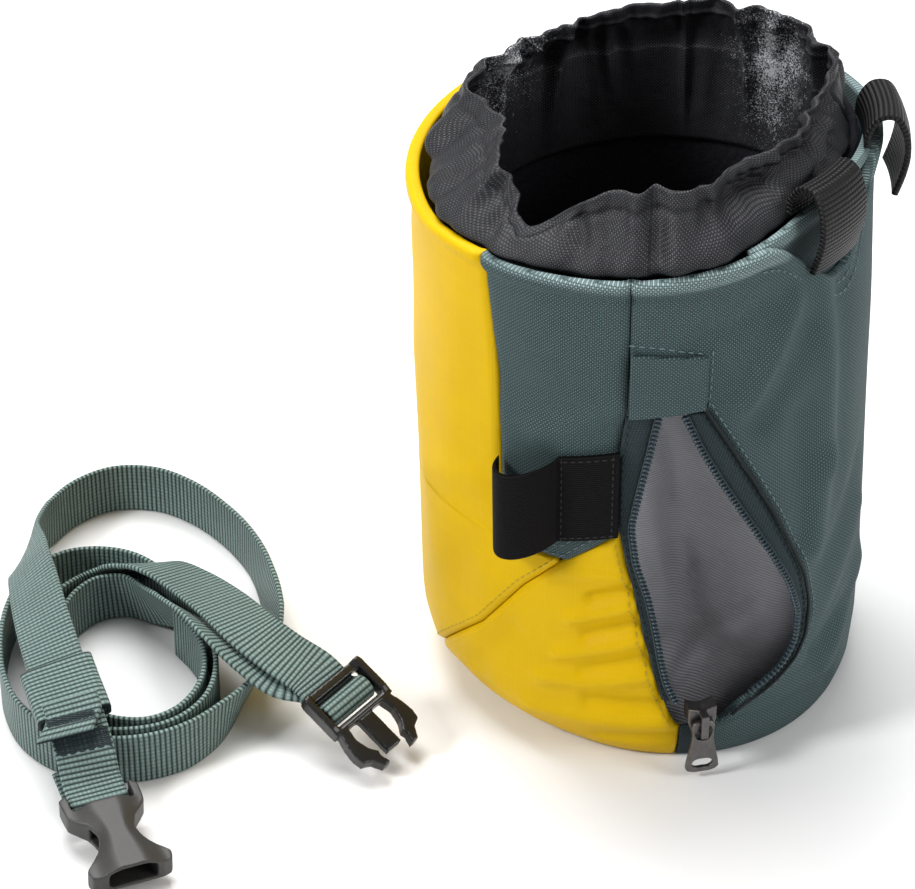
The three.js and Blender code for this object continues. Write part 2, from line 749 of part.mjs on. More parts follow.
// Belt. Each row is a station of the webbing's middle line: x, y and z are shares of the
// belt's reach, and lean is how far its upper edge tips to the left of its run.
const floorGap = 0.1;
const onEdge = (beltWidth / 2 + floorGap) / beltReach;
const outwardRun = [
  { x: -1.37, y: -0.765, z: 0.15, lean: -88 },
  { x: -1.405, y: -0.685, z: 0.195, lean: -86 },
  { x: -1.45, y: -0.58, z: 0.21, lean: -82 },
  { x: -1.495, y: -0.46, z: 0.218, lean: -74 },
  { x: -1.54, y: -0.33, z: 0.22, lean: -66 },
  { x: -1.585, y: -0.18, z: 0.21, lean: -58 },
  { x: -1.625, y: -0.03, z: 0.182, lean: -44 },
  { x: -1.645, y: 0.12, z: 0.115, lean: -14 },
  { x: -1.62, y: 0.26, z: 0.081, lean: 0 },
  { x: -1.56, y: 0.375, z: onEdge, lean: 0 },
  { x: -1.465, y: 0.445, z: onEdge, lean: 0 },
  { x: -1.35, y: 0.45, z: onEdge, lean: 0 },
  { x: -1.24, y: 0.395, z: onEdge, lean: 0 },
  { x: -1.14, y: 0.3, z: onEdge, lean: 0 },
  { x: -1.055, y: 0.18, z: onEdge, lean: 3 },
  { x: -0.995, y: 0.03, z: onEdge, lean: 10 },
  { x: -0.97, y: -0.12, z: 0.073, lean: 25 },
  { x: -0.975, y: -0.27, z: 0.069, lean: 33 },
  { x: -1.005, y: -0.42, z: 0.074, lean: 22 },
  { x: -1.06, y: -0.545, z: onEdge, lean: 6 },
  { x: -1.14, y: -0.64, z: onEdge, lean: 0 },
  { x: -1.24, y: -0.69, z: onEdge, lean: 0 },
  { x: -1.36, y: -0.7, z: onEdge, lean: 0 },
  { x: -1.47, y: -0.665, z: onEdge, lean: 0 },
  { x: -1.565, y: -0.58, z: onEdge, lean: 0 },
  { x: -1.625, y: -0.46, z: onEdge, lean: 0 },
  { x: -1.655, y: -0.32, z: onEdge, lean: 0 },
  { x: -1.66, y: -0.19, z: onEdge, lean: 0 },
  { x: -1.64, y: -0.075, z: onEdge, lean: 0 },
  { x: -1.595, y: 0.01, z: onEdge, lean: 0 },
  { x: -1.53, y: 0.063, z: onEdge, lean: 0 },
  { x: -1.45, y: 0.08, z: onEdge, lean: 0 },
  { x: -1.365, y: 0.065, z: onEdge, lean: 0 },
  { x: -1.285, y: 0.01, z: onEdge, lean: 0 },
  { x: -1.215, y: -0.08, z: onEdge, lean: 0 },
  { x: -1.145, y: -0.19, z: onEdge, lean: 0 },
  { x: -1.098, y: -0.31, z: onEdge, lean: 0 },
  { x: -1.082, y: -0.43, z: onEdge, lean: 0 },
  { x: -1.1, y: -0.53, z: onEdge, lean: 0 },
  { x: -1.155, y: -0.61, z: onEdge, lean: 0 },
  { x: -1.24, y: -0.656, z: onEdge, lean: 0 },
  { x: -1.36, y: -0.662, z: onEdge, lean: 0 },
  { x: -1.465, y: -0.605, z: onEdge, lean: 0 },
  { x: -1.53, y: -0.49, z: onEdge, lean: 0 },
  { x: -1.558, y: -0.36, z: onEdge, lean: 0 },
  { x: -1.56, y: -0.23, z: onEdge, lean: 0 },
  { x: -1.535, y: -0.11, z: onEdge, lean: 0 },
  { x: -1.48, y: -0.03, z: 0.08, lean: -8 },
  { x: -1.415, y: 0.008, z: 0.11, lean: -28 },
  { x: -1.34, y: -0.005, z: 0.155, lean: -52 },
  { x: -1.265, y: -0.05, z: 0.19, lean: -70 },
  { x: -1.17, y: -0.13, z: 0.2, lean: -80 },
  { x: -1.075, y: -0.235, z: 0.213, lean: -86 },
  { x: -0.99, y: -0.335, z: 0.213, lean: -92 },
  { x: -0.905, y: -0.395, z: 0.19, lean: -96 },
];
const returnRun = [
  { x: -0.905, y: -0.435, z: 0.15, lean: 94 },
  { x: -0.99, y: -0.39, z: 0.173, lean: 80 },
  { x: -1.07, y: -0.325, z: 0.18, lean: 60 },
  { x: -1.15, y: -0.235, z: 0.168, lean: 46 },
  { x: -1.23, y: -0.15, z: 0.128, lean: 28 },
  { x: -1.3, y: -0.08, z: 0.09, lean: 14 },
  { x: -1.37, y: -0.036, z: 0.08, lean: 5 },
  { x: -1.44, y: -0.05, z: onEdge, lean: 0 },
  { x: -1.49, y: -0.115, z: onEdge, lean: 0 },
  { x: -1.515, y: -0.23, z: onEdge, lean: 0 },
  { x: -1.512, y: -0.35, z: onEdge, lean: 0 },
  { x: -1.485, y: -0.47, z: onEdge, lean: 0 },
  { x: -1.425, y: -0.56, z: onEdge, lean: 0 },
  { x: -1.335, y: -0.615, z: onEdge, lean: 0 },
  { x: -1.24, y: -0.622, z: onEdge, lean: 0 },
  { x: -1.17, y: -0.58, z: onEdge, lean: 0 },
  { x: -1.127, y: -0.505, z: onEdge, lean: 0 },
  { x: -1.112, y: -0.415, z: onEdge, lean: 0 },
  { x: -1.125, y: -0.325, z: onEdge, lean: 0 },
  { x: -1.165, y: -0.245, z: onEdge, lean: 0 },
  { x: -1.215, y: -0.18, z: onEdge, lean: 0 },
];
const upward = new THREE.Vector3(0, 0, 1);

function floorStations(rows) {
  const centres = rows.map((row) => (
    new THREE.Vector3(row.x, row.y, row.z).multiplyScalar(beltReach)));
  return rows.map((row, i) => {
    const before = centres[Math.max(0, i - 1)];
    const after = centres[Math.min(rows.length - 1, i + 1)];
    const run = after.clone().sub(before).setZ(0).normalize();
    const left = upward.clone().cross(run);
    const width = upward.clone().multiplyScalar(Math.cos(row.lean * degree));
    width.addScaledVector(left, Math.sin(row.lean * degree));
    return { centre: centres[i], width };
  });
}

// The frame of a buckle half: x along it toward its mouth or tips, y across, z off it
function buckleFrame(place, heading, roll) {
  const along = heading.clone().normalize();
  const flat = upward.clone().cross(along).normalize();
  const across = flat.clone().applyAxisAngle(along, roll * degree);
  const off = along.clone().cross(across);
  return new THREE.Matrix4().makeBasis(along, across, off).setPosition(place);
}

const socketFrame = buckleFrame(
  new THREE.Vector3(-1.335, -0.845, 0.057).multiplyScalar(beltReach),
  new THREE.Vector3(0.43, -0.89, -0.1), 0);
const plugFrame = buckleFrame(
  new THREE.Vector3(-0.79, -0.465, 0.155).multiplyScalar(beltReach),
  new THREE.Vector3(0.72, -0.5, -0.46), 9);

// Stations of the webbing where it wraps a bar: x along the buckle and z off it
function buckleStations(frame, side, rows) {
  const width = new THREE.Vector3().setFromMatrixColumn(frame, 1).multiplyScalar(side);
  return rows.map((row) => ({
    centre: new THREE.Vector3(row.x, 0, row.z).applyMatrix4(frame),
    width: width.clone(),
  }));
}

const barClear = beltWall / 2 + 0.35;
const socketBarWall = 2.2;
const socketWrap = [
  { x: -13, z: 1.7 - beltWall - 0.75 },
  { x: -5, z: -barClear },
  { x: 0, z: -barClear - 0.1 },
  { x: barWidth + 0.5, z: -0.8 },
  { x: barWidth + 1.3, z: socketBarWall * 0.5 },
  { x: barWidth + 0.5, z: socketBarWall + 0.8 },
  { x: 0, z: socketBarWall + barClear + 0.1 },
  { x: -4, z: socketBarWall + barClear + 0.9 },
];
const plugBarWall = 1.8;
const firstSlot = barWidth;
const secondSlot = 2 * barWidth + slotWidth;
const plugWrap = [
  { x: -5, z: -1.6 },
  { x: -0.5, z: -1.25 },
  { x: firstSlot + 0.6, z: -1 },
  { x: firstSlot + 1.6, z: 0.6 },
  { x: firstSlot + slotWidth - 0.6, z: plugBarWall + 0.8 },
  { x: secondSlot - barWidth * 0.5, z: plugBarWall + 1.5 },
  { x: secondSlot + 0.9, z: plugBarWall + 0.6 },
  { x: secondSlot + 1.5, z: 0.6 },
  { x: secondSlot + 0.6, z: -1.1 },
  { x: secondSlot - barWidth * 0.7, z: -2.4 },
  { x: barWidth * 0.6, z: -3.5 },
  { x: -3, z: -3.6 },
];

const beltStations = [
  ...buckleStations(socketFrame, 1, socketWrap),
  ...floorStations(outwardRun),
  ...buckleStations(plugFrame, -1, plugWrap),
  ...floorStations(returnRun),
];
const beltLine = new THREE.CatmullRomCurve3(
  beltStations.map((station) => station.centre), false, 'centripetal');
const stepsPerStation = 2;
const beltSteps = (beltStations.length - 1) * stepsPerStation;

function beltCorner(step, up, side) {
  const at = step / beltSteps;
  const centre = beltLine.getPoint(at);
  const run = beltLine.getTangent(at);
  const index = Math.min(beltStations.length - 2, Math.floor(step / stepsPerStation));
  const blend = step / stepsPerStation - index;
  const width = beltStations[index].width.clone().lerp(beltStations[index + 1].width, blend);
  width.addScaledVector(run, -width.dot(run)).normalize();
  const across = run.clone().cross(width);
  return centre.addScaledVector(width, (up - 0.5) * beltWidth)
    .addScaledVector(across, (side - 0.5) * beltWall);
}

addPiece('belt_webbing', sheet(beltSteps, 1, (i, j, side) => beltCorner(i, j, side)),
  finishes.tealWebbing);

// Keeper: a sewn sleeve round the belt, a little past the socket half
const keeperStart = (socketWrap.length + 1) * stepsPerStation;
const keeperRoom = 0.75;
const keeperSteps = 3;
const keeperCorners = [[-1, -1], [1, -1], [1, 1], [-1, 1]];
addPiece('belt_keeper', ring(keeperCorners.length, 2 * (keeperSteps + 1), (i, k) => {
  const inner = k > keeperSteps;
  const along = (inner ? 2 * keeperSteps + 1 - k : k) / keeperSteps;
  const room = keeperRoom + (inner ? 0 : keeperWall);
  const [up, side] = keeperCorners[i];
  return beltCorner(keeperStart + along * keeperSteps,
    0.5 + up * (0.5 + room / beltWidth), 0.5 + side * (0.5 + room / beltWall));
}), finishes.tealWebbing);

// Socket half of the buckle: waisted shell with a mouth, side windows and a rear bar.
// Rows give half its width at each station along it, as shares of its length and width.
const socketOutline = [
  { along: 0, half: 0.42 },
  { along: 0.05, half: 0.5 },
  { along: 0.26, half: 0.5 },
  { along: 0.4, half: 0.37 },
  { along: 0.56, half: 0.34 },
  { along: 0.72, half: 0.38 },
  { along: 0.88, half: 0.54 },
  { along: 0.97, half: 0.5 },
  { along: 1, half: 0.38 },
];

function mirroredShape(rows, length, width) {
  const shape = new THREE.Shape();
  rows.forEach((row, i) => {
    const point = [row.along * length, -row.half * width];
    if (i === 0) shape.moveTo(...point);
    else shape.lineTo(...point);
  });
  for (const row of [...rows].reverse()) shape.lineTo(row.along * length, row.half * width);
  shape.closePath();
  return shape;
}

const socketSlotHalf = beltWidth / 2 + 0.6;
const mouthDepth = socketLength * 0.62;
const mouthHalf = buckleWidth * 0.3;
const mouthWall = 1.2;
const socketBody = new THREE.ExtrudeGeometry(
  mirroredShape(socketOutline, socketLength, buckleWidth),
  { depth: socketWall, bevelEnabled: false });
const socketCuts = [
  block(barWidth, barWidth + slotWidth, -socketSlotHalf, socketSlotHalf, -1, socketWall + 1),
  block(-1, barWidth + slotWidth, -socketSlotHalf, socketSlotHalf, socketBarWall, socketWall + 1),
  block(socketLength - mouthDepth, socketLength + 1, -mouthHalf, mouthHalf,
    mouthWall, socketWall - mouthWall),
  block(socketLength * 0.42, socketLength * 0.68, -buckleWidth, buckleWidth,
    mouthWall, socketWall - mouthWall),
];
const socket = cutAway(socketBody, socketCuts);
socket.applyMatrix4(socketFrame);
addPiece('buckle_female', socket, finishes.greyPlastic);

// Plug half: strap frame with two slots, a middle guide and two springy side arms.
const frameLength = secondSlot + slotWidth + barWidth;
const armRows = [
  { along: 0, inner: 0.3, outer: 0.44 },
  { along: 0.3, inner: 0.34, outer: 0.5 },
  { along: 0.55, inner: 0.3, outer: 0.52 },
  { along: 0.72, inner: 0.22, outer: 0.5 },
  { along: 0.8, inner: 0.24, outer: 0.38 },
  { along: 1, inner: 0.2, outer: 0.3 },
];

function plugArm(side) {
  const reach = plugLength - frameLength + 1;
  const outline = new THREE.Shape();
  armRows.forEach((row, i) => {
    const point = [frameLength - 1 + row.along * reach, side * row.outer * buckleWidth];
    if (i === 0) outline.moveTo(...point);
    else outline.lineTo(...point);
  });
  for (const row of [...armRows].reverse()) {
    outline.lineTo(frameLength - 1 + row.along * reach, side * row.inner * buckleWidth);
  }
  outline.closePath();
  return new THREE.ExtrudeGeometry(outline, { depth: buckleWall, bevelEnabled: false });
}

const guideLength = (plugLength - frameLength) * 0.82;
const guideHalf = buckleWidth * 0.12;
const plugPlate = cutAway(
  block(0, frameLength, -buckleWidth / 2, buckleWidth / 2, 0, buckleWall),
  [
    block(firstSlot, firstSlot + slotWidth, -socketSlotHalf, socketSlotHalf, -1, buckleWall + 1),
    block(secondSlot, secondSlot + slotWidth, -socketSlotHalf, socketSlotHalf,
      -1, buckleWall + 1),
    block(firstSlot, secondSlot + slotWidth, -socketSlotHalf, socketSlotHalf,
      plugBarWall, buckleWall + 1),
  ]);
const plug = joinAll([
  plugPlate,
  block(frameLength - 1, frameLength + guideLength, -guideHalf, guideHalf,
    buckleWall * 0.15, buckleWall * 0.85),
  plugArm(1),
  plugArm(-1),
]);
plug.applyMatrix4(plugFrame);
addPiece('buckle_male', plug, finishes.darkPlastic);

export default chalkBag;
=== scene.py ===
import math

import bmesh
import bpy
import numpy as np
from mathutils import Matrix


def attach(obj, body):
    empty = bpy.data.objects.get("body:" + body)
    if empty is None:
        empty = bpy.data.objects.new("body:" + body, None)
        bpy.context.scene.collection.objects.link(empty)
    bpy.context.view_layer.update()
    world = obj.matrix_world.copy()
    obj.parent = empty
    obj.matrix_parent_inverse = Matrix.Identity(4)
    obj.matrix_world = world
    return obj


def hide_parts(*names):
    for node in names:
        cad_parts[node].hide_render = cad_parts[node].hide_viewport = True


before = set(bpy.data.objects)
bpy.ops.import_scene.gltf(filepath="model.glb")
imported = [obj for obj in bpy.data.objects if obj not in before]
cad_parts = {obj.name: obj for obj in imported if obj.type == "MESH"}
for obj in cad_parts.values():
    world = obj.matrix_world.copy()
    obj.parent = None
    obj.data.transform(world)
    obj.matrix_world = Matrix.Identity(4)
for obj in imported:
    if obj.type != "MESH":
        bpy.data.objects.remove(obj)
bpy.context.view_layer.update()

# Front panel
# Yellow coated nylon, one ply folded over at the rim, from the back seam round to the
# teal cloth. All lengths are millimetres until a mesh is made, and angles are degrees.
mm = 0.001
rim_height = 149.5
rim_tilt = 4
rim_high_angle = 100
rim_radius = 59.5
shell_wall = 2
layer_gap = 0.6
back_seam = 210
degree_length = math.radians(rim_radius)

crease_columns = "from_angle from_height to_angle to_height push width"


def table(columns, rows):
    """A table from the names of its columns and its rows of values."""
    return [dict(zip(columns.split(), row)) for row in rows]


girth_rows = table("height girth", [
    (0, 0.915), (0.03, 0.94), (0.1, 0.955), (0.45, 0.965), (0.8, 0.98), (1, 1),
])
dent_rows = table("angle turn height spread depth", [
    (-46, 34, -0.02, 0.05, -0.17), (38, 13, 0.36, 0.16, 0.07), (58, 27, 1.02, 0.13, -0.165),
    (96, 40, 0.72, 0.24, -0.045), (0, 22, 0.45, 0.3, -0.02), (-62, 20, 0.62, 0.2, 0.012),
    (168, 30, 0.5, 0.3, -0.025),
])
front_seam_rows = table("height angle", [
    (0, -79), (0.0696, -68.6), (0.2227, -44.8), (0.3478, -31), (0.4247, -20), (0.4361, -37.5),
    (0.6288, -37.8), (0.8227, -39.5), (1, -42.5),
])


def read_table(rows, key, column, at):
    """A column of a table between its rows."""
    return np.interp(at, [row[key] for row in rows], [row[column] for row in rows])


def bump(distance, spread):
    """A soft rise of 1 that fades over the spread."""
    return np.exp(-0.5 * (distance / spread) ** 2)


def eased(share):
    """A smooth step from 0 to 1."""
    share = np.clip(share, 0, 1)
    return share ** 2 * (3 - 2 * share)


def turn_between(angle, centre):
    """The angle from the centre, from -180 to 180."""
    return (angle - centre + 540) % 360 - 180


def shell_radius(angle, share):
    """Radius of the cloth's outer face at a share of the rim's height."""
    girth = read_table(girth_rows, "height", "girth", share)
    for dent in dent_rows:
        across = bump(turn_between(angle, dent["angle"]), dent["turn"])
        girth = girth + dent["depth"] * across * bump(share - dent["height"], dent["spread"])
    return girth * rim_radius


def height_of_rim(angle):
    """The rim is a little higher at the back right."""
    return rim_height + rim_tilt * np.cos(np.radians(angle - rim_high_angle))


def around(angle, radius, height):
    """Points from an angle, a radius and a height."""
    turn = np.radians(angle)
    spots = np.broadcast_arrays(radius * np.sin(turn), -radius * np.cos(turn), height)
    return np.stack(spots, axis=-1)


def on_shell(angle, share, inset):
    """Points on the shell, set in from its outer face."""
    return around(angle, shell_radius(angle, share) - inset, share * height_of_rim(angle))


def creases(rows, angle, height):
    """How far long soft creases push the cloth outward."""
    x = angle * degree_length
    push = np.zeros(np.broadcast(angle, height).shape)
    for row in rows:
        start = np.array([row["from_angle"] * degree_length, row["from_height"]])
        run = np.array([row["to_angle"] * degree_length, row["to_height"]]) - start
        along = ((x - start[0]) * run[0] + (height - start[1]) * run[1]) / (run @ run)
        along = np.clip(along, 0, 1)
        away = np.hypot(x - start[0] - along * run[0], height - start[1] - along * run[1])
        push += row["push"] * np.exp(-(away / row["width"]) ** 2)
    return push


def stations(length, step):
    """Shares of a length, a step apart and closer together at its two ends."""
    near = np.array([0, 0.1, 0.3, 0.6, 1.0])
    count = max(1, round((length - 2 * near[-1]) / step))
    middle = np.linspace(near[-1], length - near[-1], count + 1)
    return np.concatenate([near[:-1], middle, (length - near[:-1])[::-1]]) / length


def laid_flat(along, across):
    """The place in the weave of each point, from its two directions."""
    return np.stack(np.broadcast_arrays(along, across), axis=-1)


def into_scene(name, data):
    """A new object, linked to the scene."""
    made = bpy.data.objects.new(name, data)
    bpy.context.scene.collection.objects.link(made)
    return made


def finished_mesh(carrier):
    """The mesh that an object's modifiers or curves make."""
    made = carrier.evaluated_get(bpy.context.evaluated_depsgraph_get())
    return bpy.data.meshes.new_from_object(made)


def soft_wall(name, front, back, pattern, finish, closed=False, pole=False):
    """A closed cloth wall between two grids of points. Columns run right and rows run up
    as seen from the front, and pattern gives each column and row its place in the weave.
    With a pole, the first row is one point."""
    columns, rows = front.shape[:2]
    grid = np.arange(columns * rows).reshape(columns, rows)
    if closed:
        grid = np.concatenate([grid, grid[:1]])
    behind = grid + columns * rows

    def quads(a, b, c, d):
        return np.stack([a, b, c, d], axis=-1).reshape(-1, 4)

    faces = [
        quads(grid[:-1, :-1], grid[1:, :-1], grid[1:, 1:], grid[:-1, 1:]),
        quads(behind[:-1, :-1], behind[:-1, 1:], behind[1:, 1:], behind[1:, :-1]),
        quads(behind[:-1, 0], behind[1:, 0], grid[1:, 0], grid[:-1, 0]),
        quads(grid[:-1, -1], grid[1:, -1], behind[1:, -1], behind[:-1, -1]),
    ]
    if not closed:
        faces.append(quads(behind[0, :-1], grid[0, :-1], grid[0, 1:], behind[0, 1:]))
        faces.append(quads(grid[-1, :-1], behind[-1, :-1], behind[-1, 1:], grid[-1, 1:]))
    faces = np.concatenate(faces)
    points = np.concatenate([front.reshape(-1, 3), back.reshape(-1, 3)]) * mm
    mesh = bpy.data.meshes.new(name)
    mesh.from_pydata(points.tolist(), [], faces.tolist())
    weave = np.concatenate([pattern.reshape(-1, 2)] * 2)
    layer = mesh.uv_layers.new(name="weave")
    layer.uv.foreach_set("vector", weave[faces.ravel()].astype(np.float32).ravel())
    if pole:
        joined = bmesh.new()
        joined.from_mesh(mesh)
        bmesh.ops.remove_doubles(joined, verts=joined.verts, dist=0.001 * mm)
        joined.to_mesh(mesh)
        joined.free()
    mesh.shade_smooth()
    mesh.materials.append(finish)
    return into_scene(name + "_soft", mesh)


edge_round = 0.32
edge_blunt = 0.02


def half_wall(distance, wall):
    """Half the wall's thickness near an edge, which is rounded over."""
    reach = np.clip(distance / (wall * edge_round), 0, 1)
    return wall / 2 * np.sqrt(np.maximum(1 - (1 - reach) ** 2, edge_blunt))


def along_edge(edge, at):
    """An edge at each place along it, from a function or from one number."""
    return edge(at) if callable(edge) else edge + 0 * at


seam_tuck = 0.9
seam_width = 1.3
rim_roll = 1.6
rim_roll_below = 1.9
rim_groove = 0.45
rim_groove_below = 5.4
scoop_depth = 0.13
scoop_start = 0.72


def rolled_rim(below):
    """How far the folded rim stands out, and the groove under it."""
    roll = rim_roll * bump(below - rim_roll_below, 1.6)
    return roll - rim_groove * bump(below - rim_groove_below, 0.6)


def cloth_panel(name, finish, left, right, wall=shell_wall, inset=0, low=0, high=1, rows=(),
                wide=60, step=1.3, seams=1, top_seam=0, foot_seam=0.5, dip=None):
    """A panel of the shell between two upright seams, drawn in along its seams. Its edges
    are numbers or functions, and dip is how far its rim falls."""
    across = stations(wide, step)
    bottom = along_edge(low, across)
    top = along_edge(high, across)
    upward = stations(float(np.max(top - bottom)) * rim_height, step)
    share = bottom[:, None] + upward[None, :] * (top - bottom)[:, None]
    start = along_edge(left, share)
    end = along_edge(right, share)
    angle = start + across[:, None] * (end - start)
    fall = dip(angle) if dip else 0
    place = share - fall * np.maximum(0, (share - scoop_start) / (1 - scoop_start))
    height = place * height_of_rim(angle)
    side = np.minimum(across[:, None], 1 - across[:, None]) * (end - start) * degree_length
    over = (top[:, None] - share) * rim_height
    under = (share - bottom[:, None]) * rim_height
    tuck = 0
    for edge, depth in ((side, seams), (over, top_seam), (under, foot_seam * seams)):
        tuck = np.maximum(tuck, depth * seam_tuck * np.exp(-(edge / seam_width) ** 2))
    middle = inset + wall / 2 + tuck - creases(rows, angle, height)
    half = half_wall(np.minimum(np.minimum(side, over), under), wall)
    roll = rolled_rim((1 - share) * rim_height) * (1 - fall / scoop_depth)
    front = on_shell(angle, place, middle - half - roll)
    back = on_shell(angle, place, middle + half)
    return soft_wall(name, front, back, laid_flat(angle * degree_length, height), finish)


def one_node(operation, swapped=False):
    """A way of joining a field and another value in one math node."""
    return lambda field, other=0: field.sum(operation, other, swapped)


class Field:
    """One socket of a finish, so that its patterns can be written as plain sums."""

    def __init__(self, finish, socket):
        self.finish = finish
        self.socket = socket

    def sum(self, operation, other, swapped=False):
        pair = (other, self) if swapped else (self, other)
        return self.finish.node("ShaderNodeMath", {"operation": operation}, dict(enumerate(pair)))

    __add__, __radd__ = one_node("ADD"), one_node("ADD", True)
    __sub__, __rsub__ = one_node("SUBTRACT"), one_node("SUBTRACT", True)
    __mul__, __rmul__ = one_node("MULTIPLY"), one_node("MULTIPLY", True)
    __truediv__, __pow__, __gt__ = one_node("DIVIDE"), one_node("POWER"), one_node("GREATER_THAN")
    __abs__, sine = one_node("ABSOLUTE"), one_node("SINE")
    at_least, at_most = one_node("MAXIMUM"), one_node("MINIMUM")


class Finish:
    """A material of one cloth, plastic or metal, with its nodes."""

    def __init__(self, name):
        self.material = bpy.data.materials.new(name)
        self.material.use_nodes = True
        self.tree = self.material.node_tree
        self.tree.nodes.clear()

    def node(self, kind, settings=None, sockets=None, output=0):
        node = self.tree.nodes.new(kind)
        for name, value in (settings or {}).items():
            setattr(node, name, value)
        for key, value in (sockets or {}).items():
            if isinstance(value, Field):
                self.tree.links.new(value.socket, node.inputs[key])
            else:
                node.inputs[key].default_value = value
        return Field(self, node.outputs[output]) if node.outputs else node

    def blend(self, share, low, high):
        """A colour between two colours."""
        low = low if isinstance(low, Field) else (*low, 1)
        high = high if isinstance(high, Field) else (*high, 1)
        return self.node("ShaderNodeMix", {"data_type": "RGBA"}, {0: share, 6: low, 7: high}, 2)

    def weave_place(self):
        """The two directions of the cloth, in millimetres."""
        place = {"Vector": self.node("ShaderNodeUVMap", {"uv_map": "weave"})}
        return [self.node("ShaderNodeSeparateXYZ", None, place, part) for part in (0, 1)]

    def noise(self, scale, detail=2.0, rough=0.5):
        """Soft noise, its scale in waves to the metre."""
        place = self.node("ShaderNodeTexCoord", None, None, "Object")
        return self.node("ShaderNodeTexNoise", None, {
            "Vector": place, "Scale": scale, "Detail": detail, "Roughness": rough})

    def bumps(self, height, distance, strength=1.0, under=None):
        """A normal from a height of 0 to 1 that stands for a distance in millimetres."""
        sockets = {"Height": height, "Distance": distance * mm, "Strength": strength}
        if under is not None:
            sockets["Normal"] = under
        return self.node("ShaderNodeBump", None, sockets)

    def surface(self, **sockets):
        """The shader itself. Words in a socket's name are joined with underscores."""
        sockets = {"Specular_IOR_Level": 0.5, **sockets}
        shader = self.node("ShaderNodeBsdfPrincipled", None, {
            name.replace("_", " "): value for name, value in sockets.items()})
        self.node("ShaderNodeOutputMaterial", None, {"Surface": shader})
        return self.material


def over_and_under(finish, x, y, pitch, rise=1.0):
    """Plain weave: how much weft and how much warp lies on top, each from 0 to 1."""
    across = (x * (math.pi / pitch)).sine()
    along = (y * (math.pi * rise / pitch)).sine()
    both = across * along
    weft = both.at_least(0) ** 0.5
    warp = (both * -1).at_least(0) ** 0.5
    return weft, warp


def yellow_nylon():
    finish = Finish("yellow_nylon")
    x, y = finish.weave_place()
    weft, warp = over_and_under(finish, x, y, 0.24)
    grid_pitch = 4.2
    line_x = (x * (math.pi / grid_pitch)).sine()
    line_y = (y * (math.pi / grid_pitch)).sine()
    ripstop = (1 - abs(line_x)).at_least(1 - abs(line_y)) ** 28
    cloud = finish.noise(55, 3)
    colour = finish.blend(cloud, (0.58, 0.358, 0.0), (0.68, 0.432, 0.001))
    colour = finish.blend(ripstop * 0.3, colour, (0.74, 0.52, 0.05))
    fine = finish.bumps(weft + warp * 0.8, 0.035, 0.5)
    grid = finish.bumps(ripstop, 0.09, 0.35, fine)
    soft = finish.bumps(finish.noise(120, 2), 0.5, 0.35, grid)
    return finish.surface(Base_Color=colour, Roughness=0.42 + cloud * 0.12, Normal=soft,
                          Specular_IOR_Level=0.1)


def settle(piece, slot, *nodes, body="bag"):
    """Fixes a piece to the bag, in place of its plain solids where it has any."""
    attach(piece, body)
    if nodes:
        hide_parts(*nodes)
    return piece


def front_seam(share):
    return read_table(front_seam_rows, "height", "angle", share)


front_crease_rows = table(crease_columns, [
    (-60, 12, -78, 95, 0.7, 9), (-52, 40, -44, 140, -0.5, 7), (-96, 20, -88, 120, 0.8, 12),
    (-132, 10, -120, 100, -1.0, 12), (-60, 146, -80, 132, 0.5, 6), (-42, 62, -64, 30, -0.7, 6),
    (-48, 78, -70, 66, 0.6, 5), (-76, 8, -60, 4, -0.8, 5),
])
yellow = yellow_nylon()
front_panel = cloth_panel(
    "front_panel", yellow, back_seam - 360, front_seam, rows=front_crease_rows, wide=200)
settle(front_panel, "yellow_nylon", "front_panel")

# Lower panel
# The same yellow nylon, cut as a gusset under the brush panel and sewn to the left
# tape of the zip. It is drawn into small folds where the zip pulls it.
zip_rows = table("height cloth_left teeth_left teeth_right cloth_right", [
    (0.0836, 11.2, 14.6, 18.4, 22.4), (0.1171, 8.6, 12.4, 22, 28), (0.1405, 6.8, 9.6, 29.5, 35),
    (0.1806, 5.2, 7, 38.6, 42.2), (0.2274, 3.4, 5.4, 42, 45), (0.2943, 1, 3.7, 41.6, 44.6),
    (0.3679, -1.2, 1.4, 38, 41.8), (0.4415, -4, -2, 32.8, 37.2), (0.5151, -6, -3.4, 26.8, 32.6),
    (0.5953, -6.2, -1.4, 20.2, 26.6), (0.6689, -6, 0.6, 14.6, 20.6),
    (0.7492, -4.6, 2.6, 9.6, 13.8),
])
zip_bottom = zip_rows[0]["height"]
zip_top = zip_rows[-1]["height"]
upper_seam = -4.3
end_tab_left = 12.1
end_tab_right = 17.6
end_tab_low = 0.0013
tongue_top = 0.4381
tongue_tip = 0.4247
gusset_rise = 0.0702
flap_high = 0.8662


def zip_edge(column, share):
    """The zip's curves, rounded off between the rows of the table."""
    near = 0.012
    marks = [read_table(zip_rows, "height", column, share + near * k) for k in (-1, 0, 1)]
    return (marks[0] + 2 * marks[1] + marks[2]) / 4


def left_of_zip(share):
    edge = np.where(share > zip_top, upper_seam, zip_edge("cloth_left", share))
    return np.where(share < zip_bottom, end_tab_left, edge)


def right_of_zip(share):
    under_flap = np.interp(share, [zip_top, flap_high - 0.02],
                           [zip_rows[-1]["cloth_right"], upper_seam])
    edge = np.where(share > zip_top, under_flap, zip_edge("cloth_right", share))
    return np.where(share < zip_bottom, end_tab_right, edge)


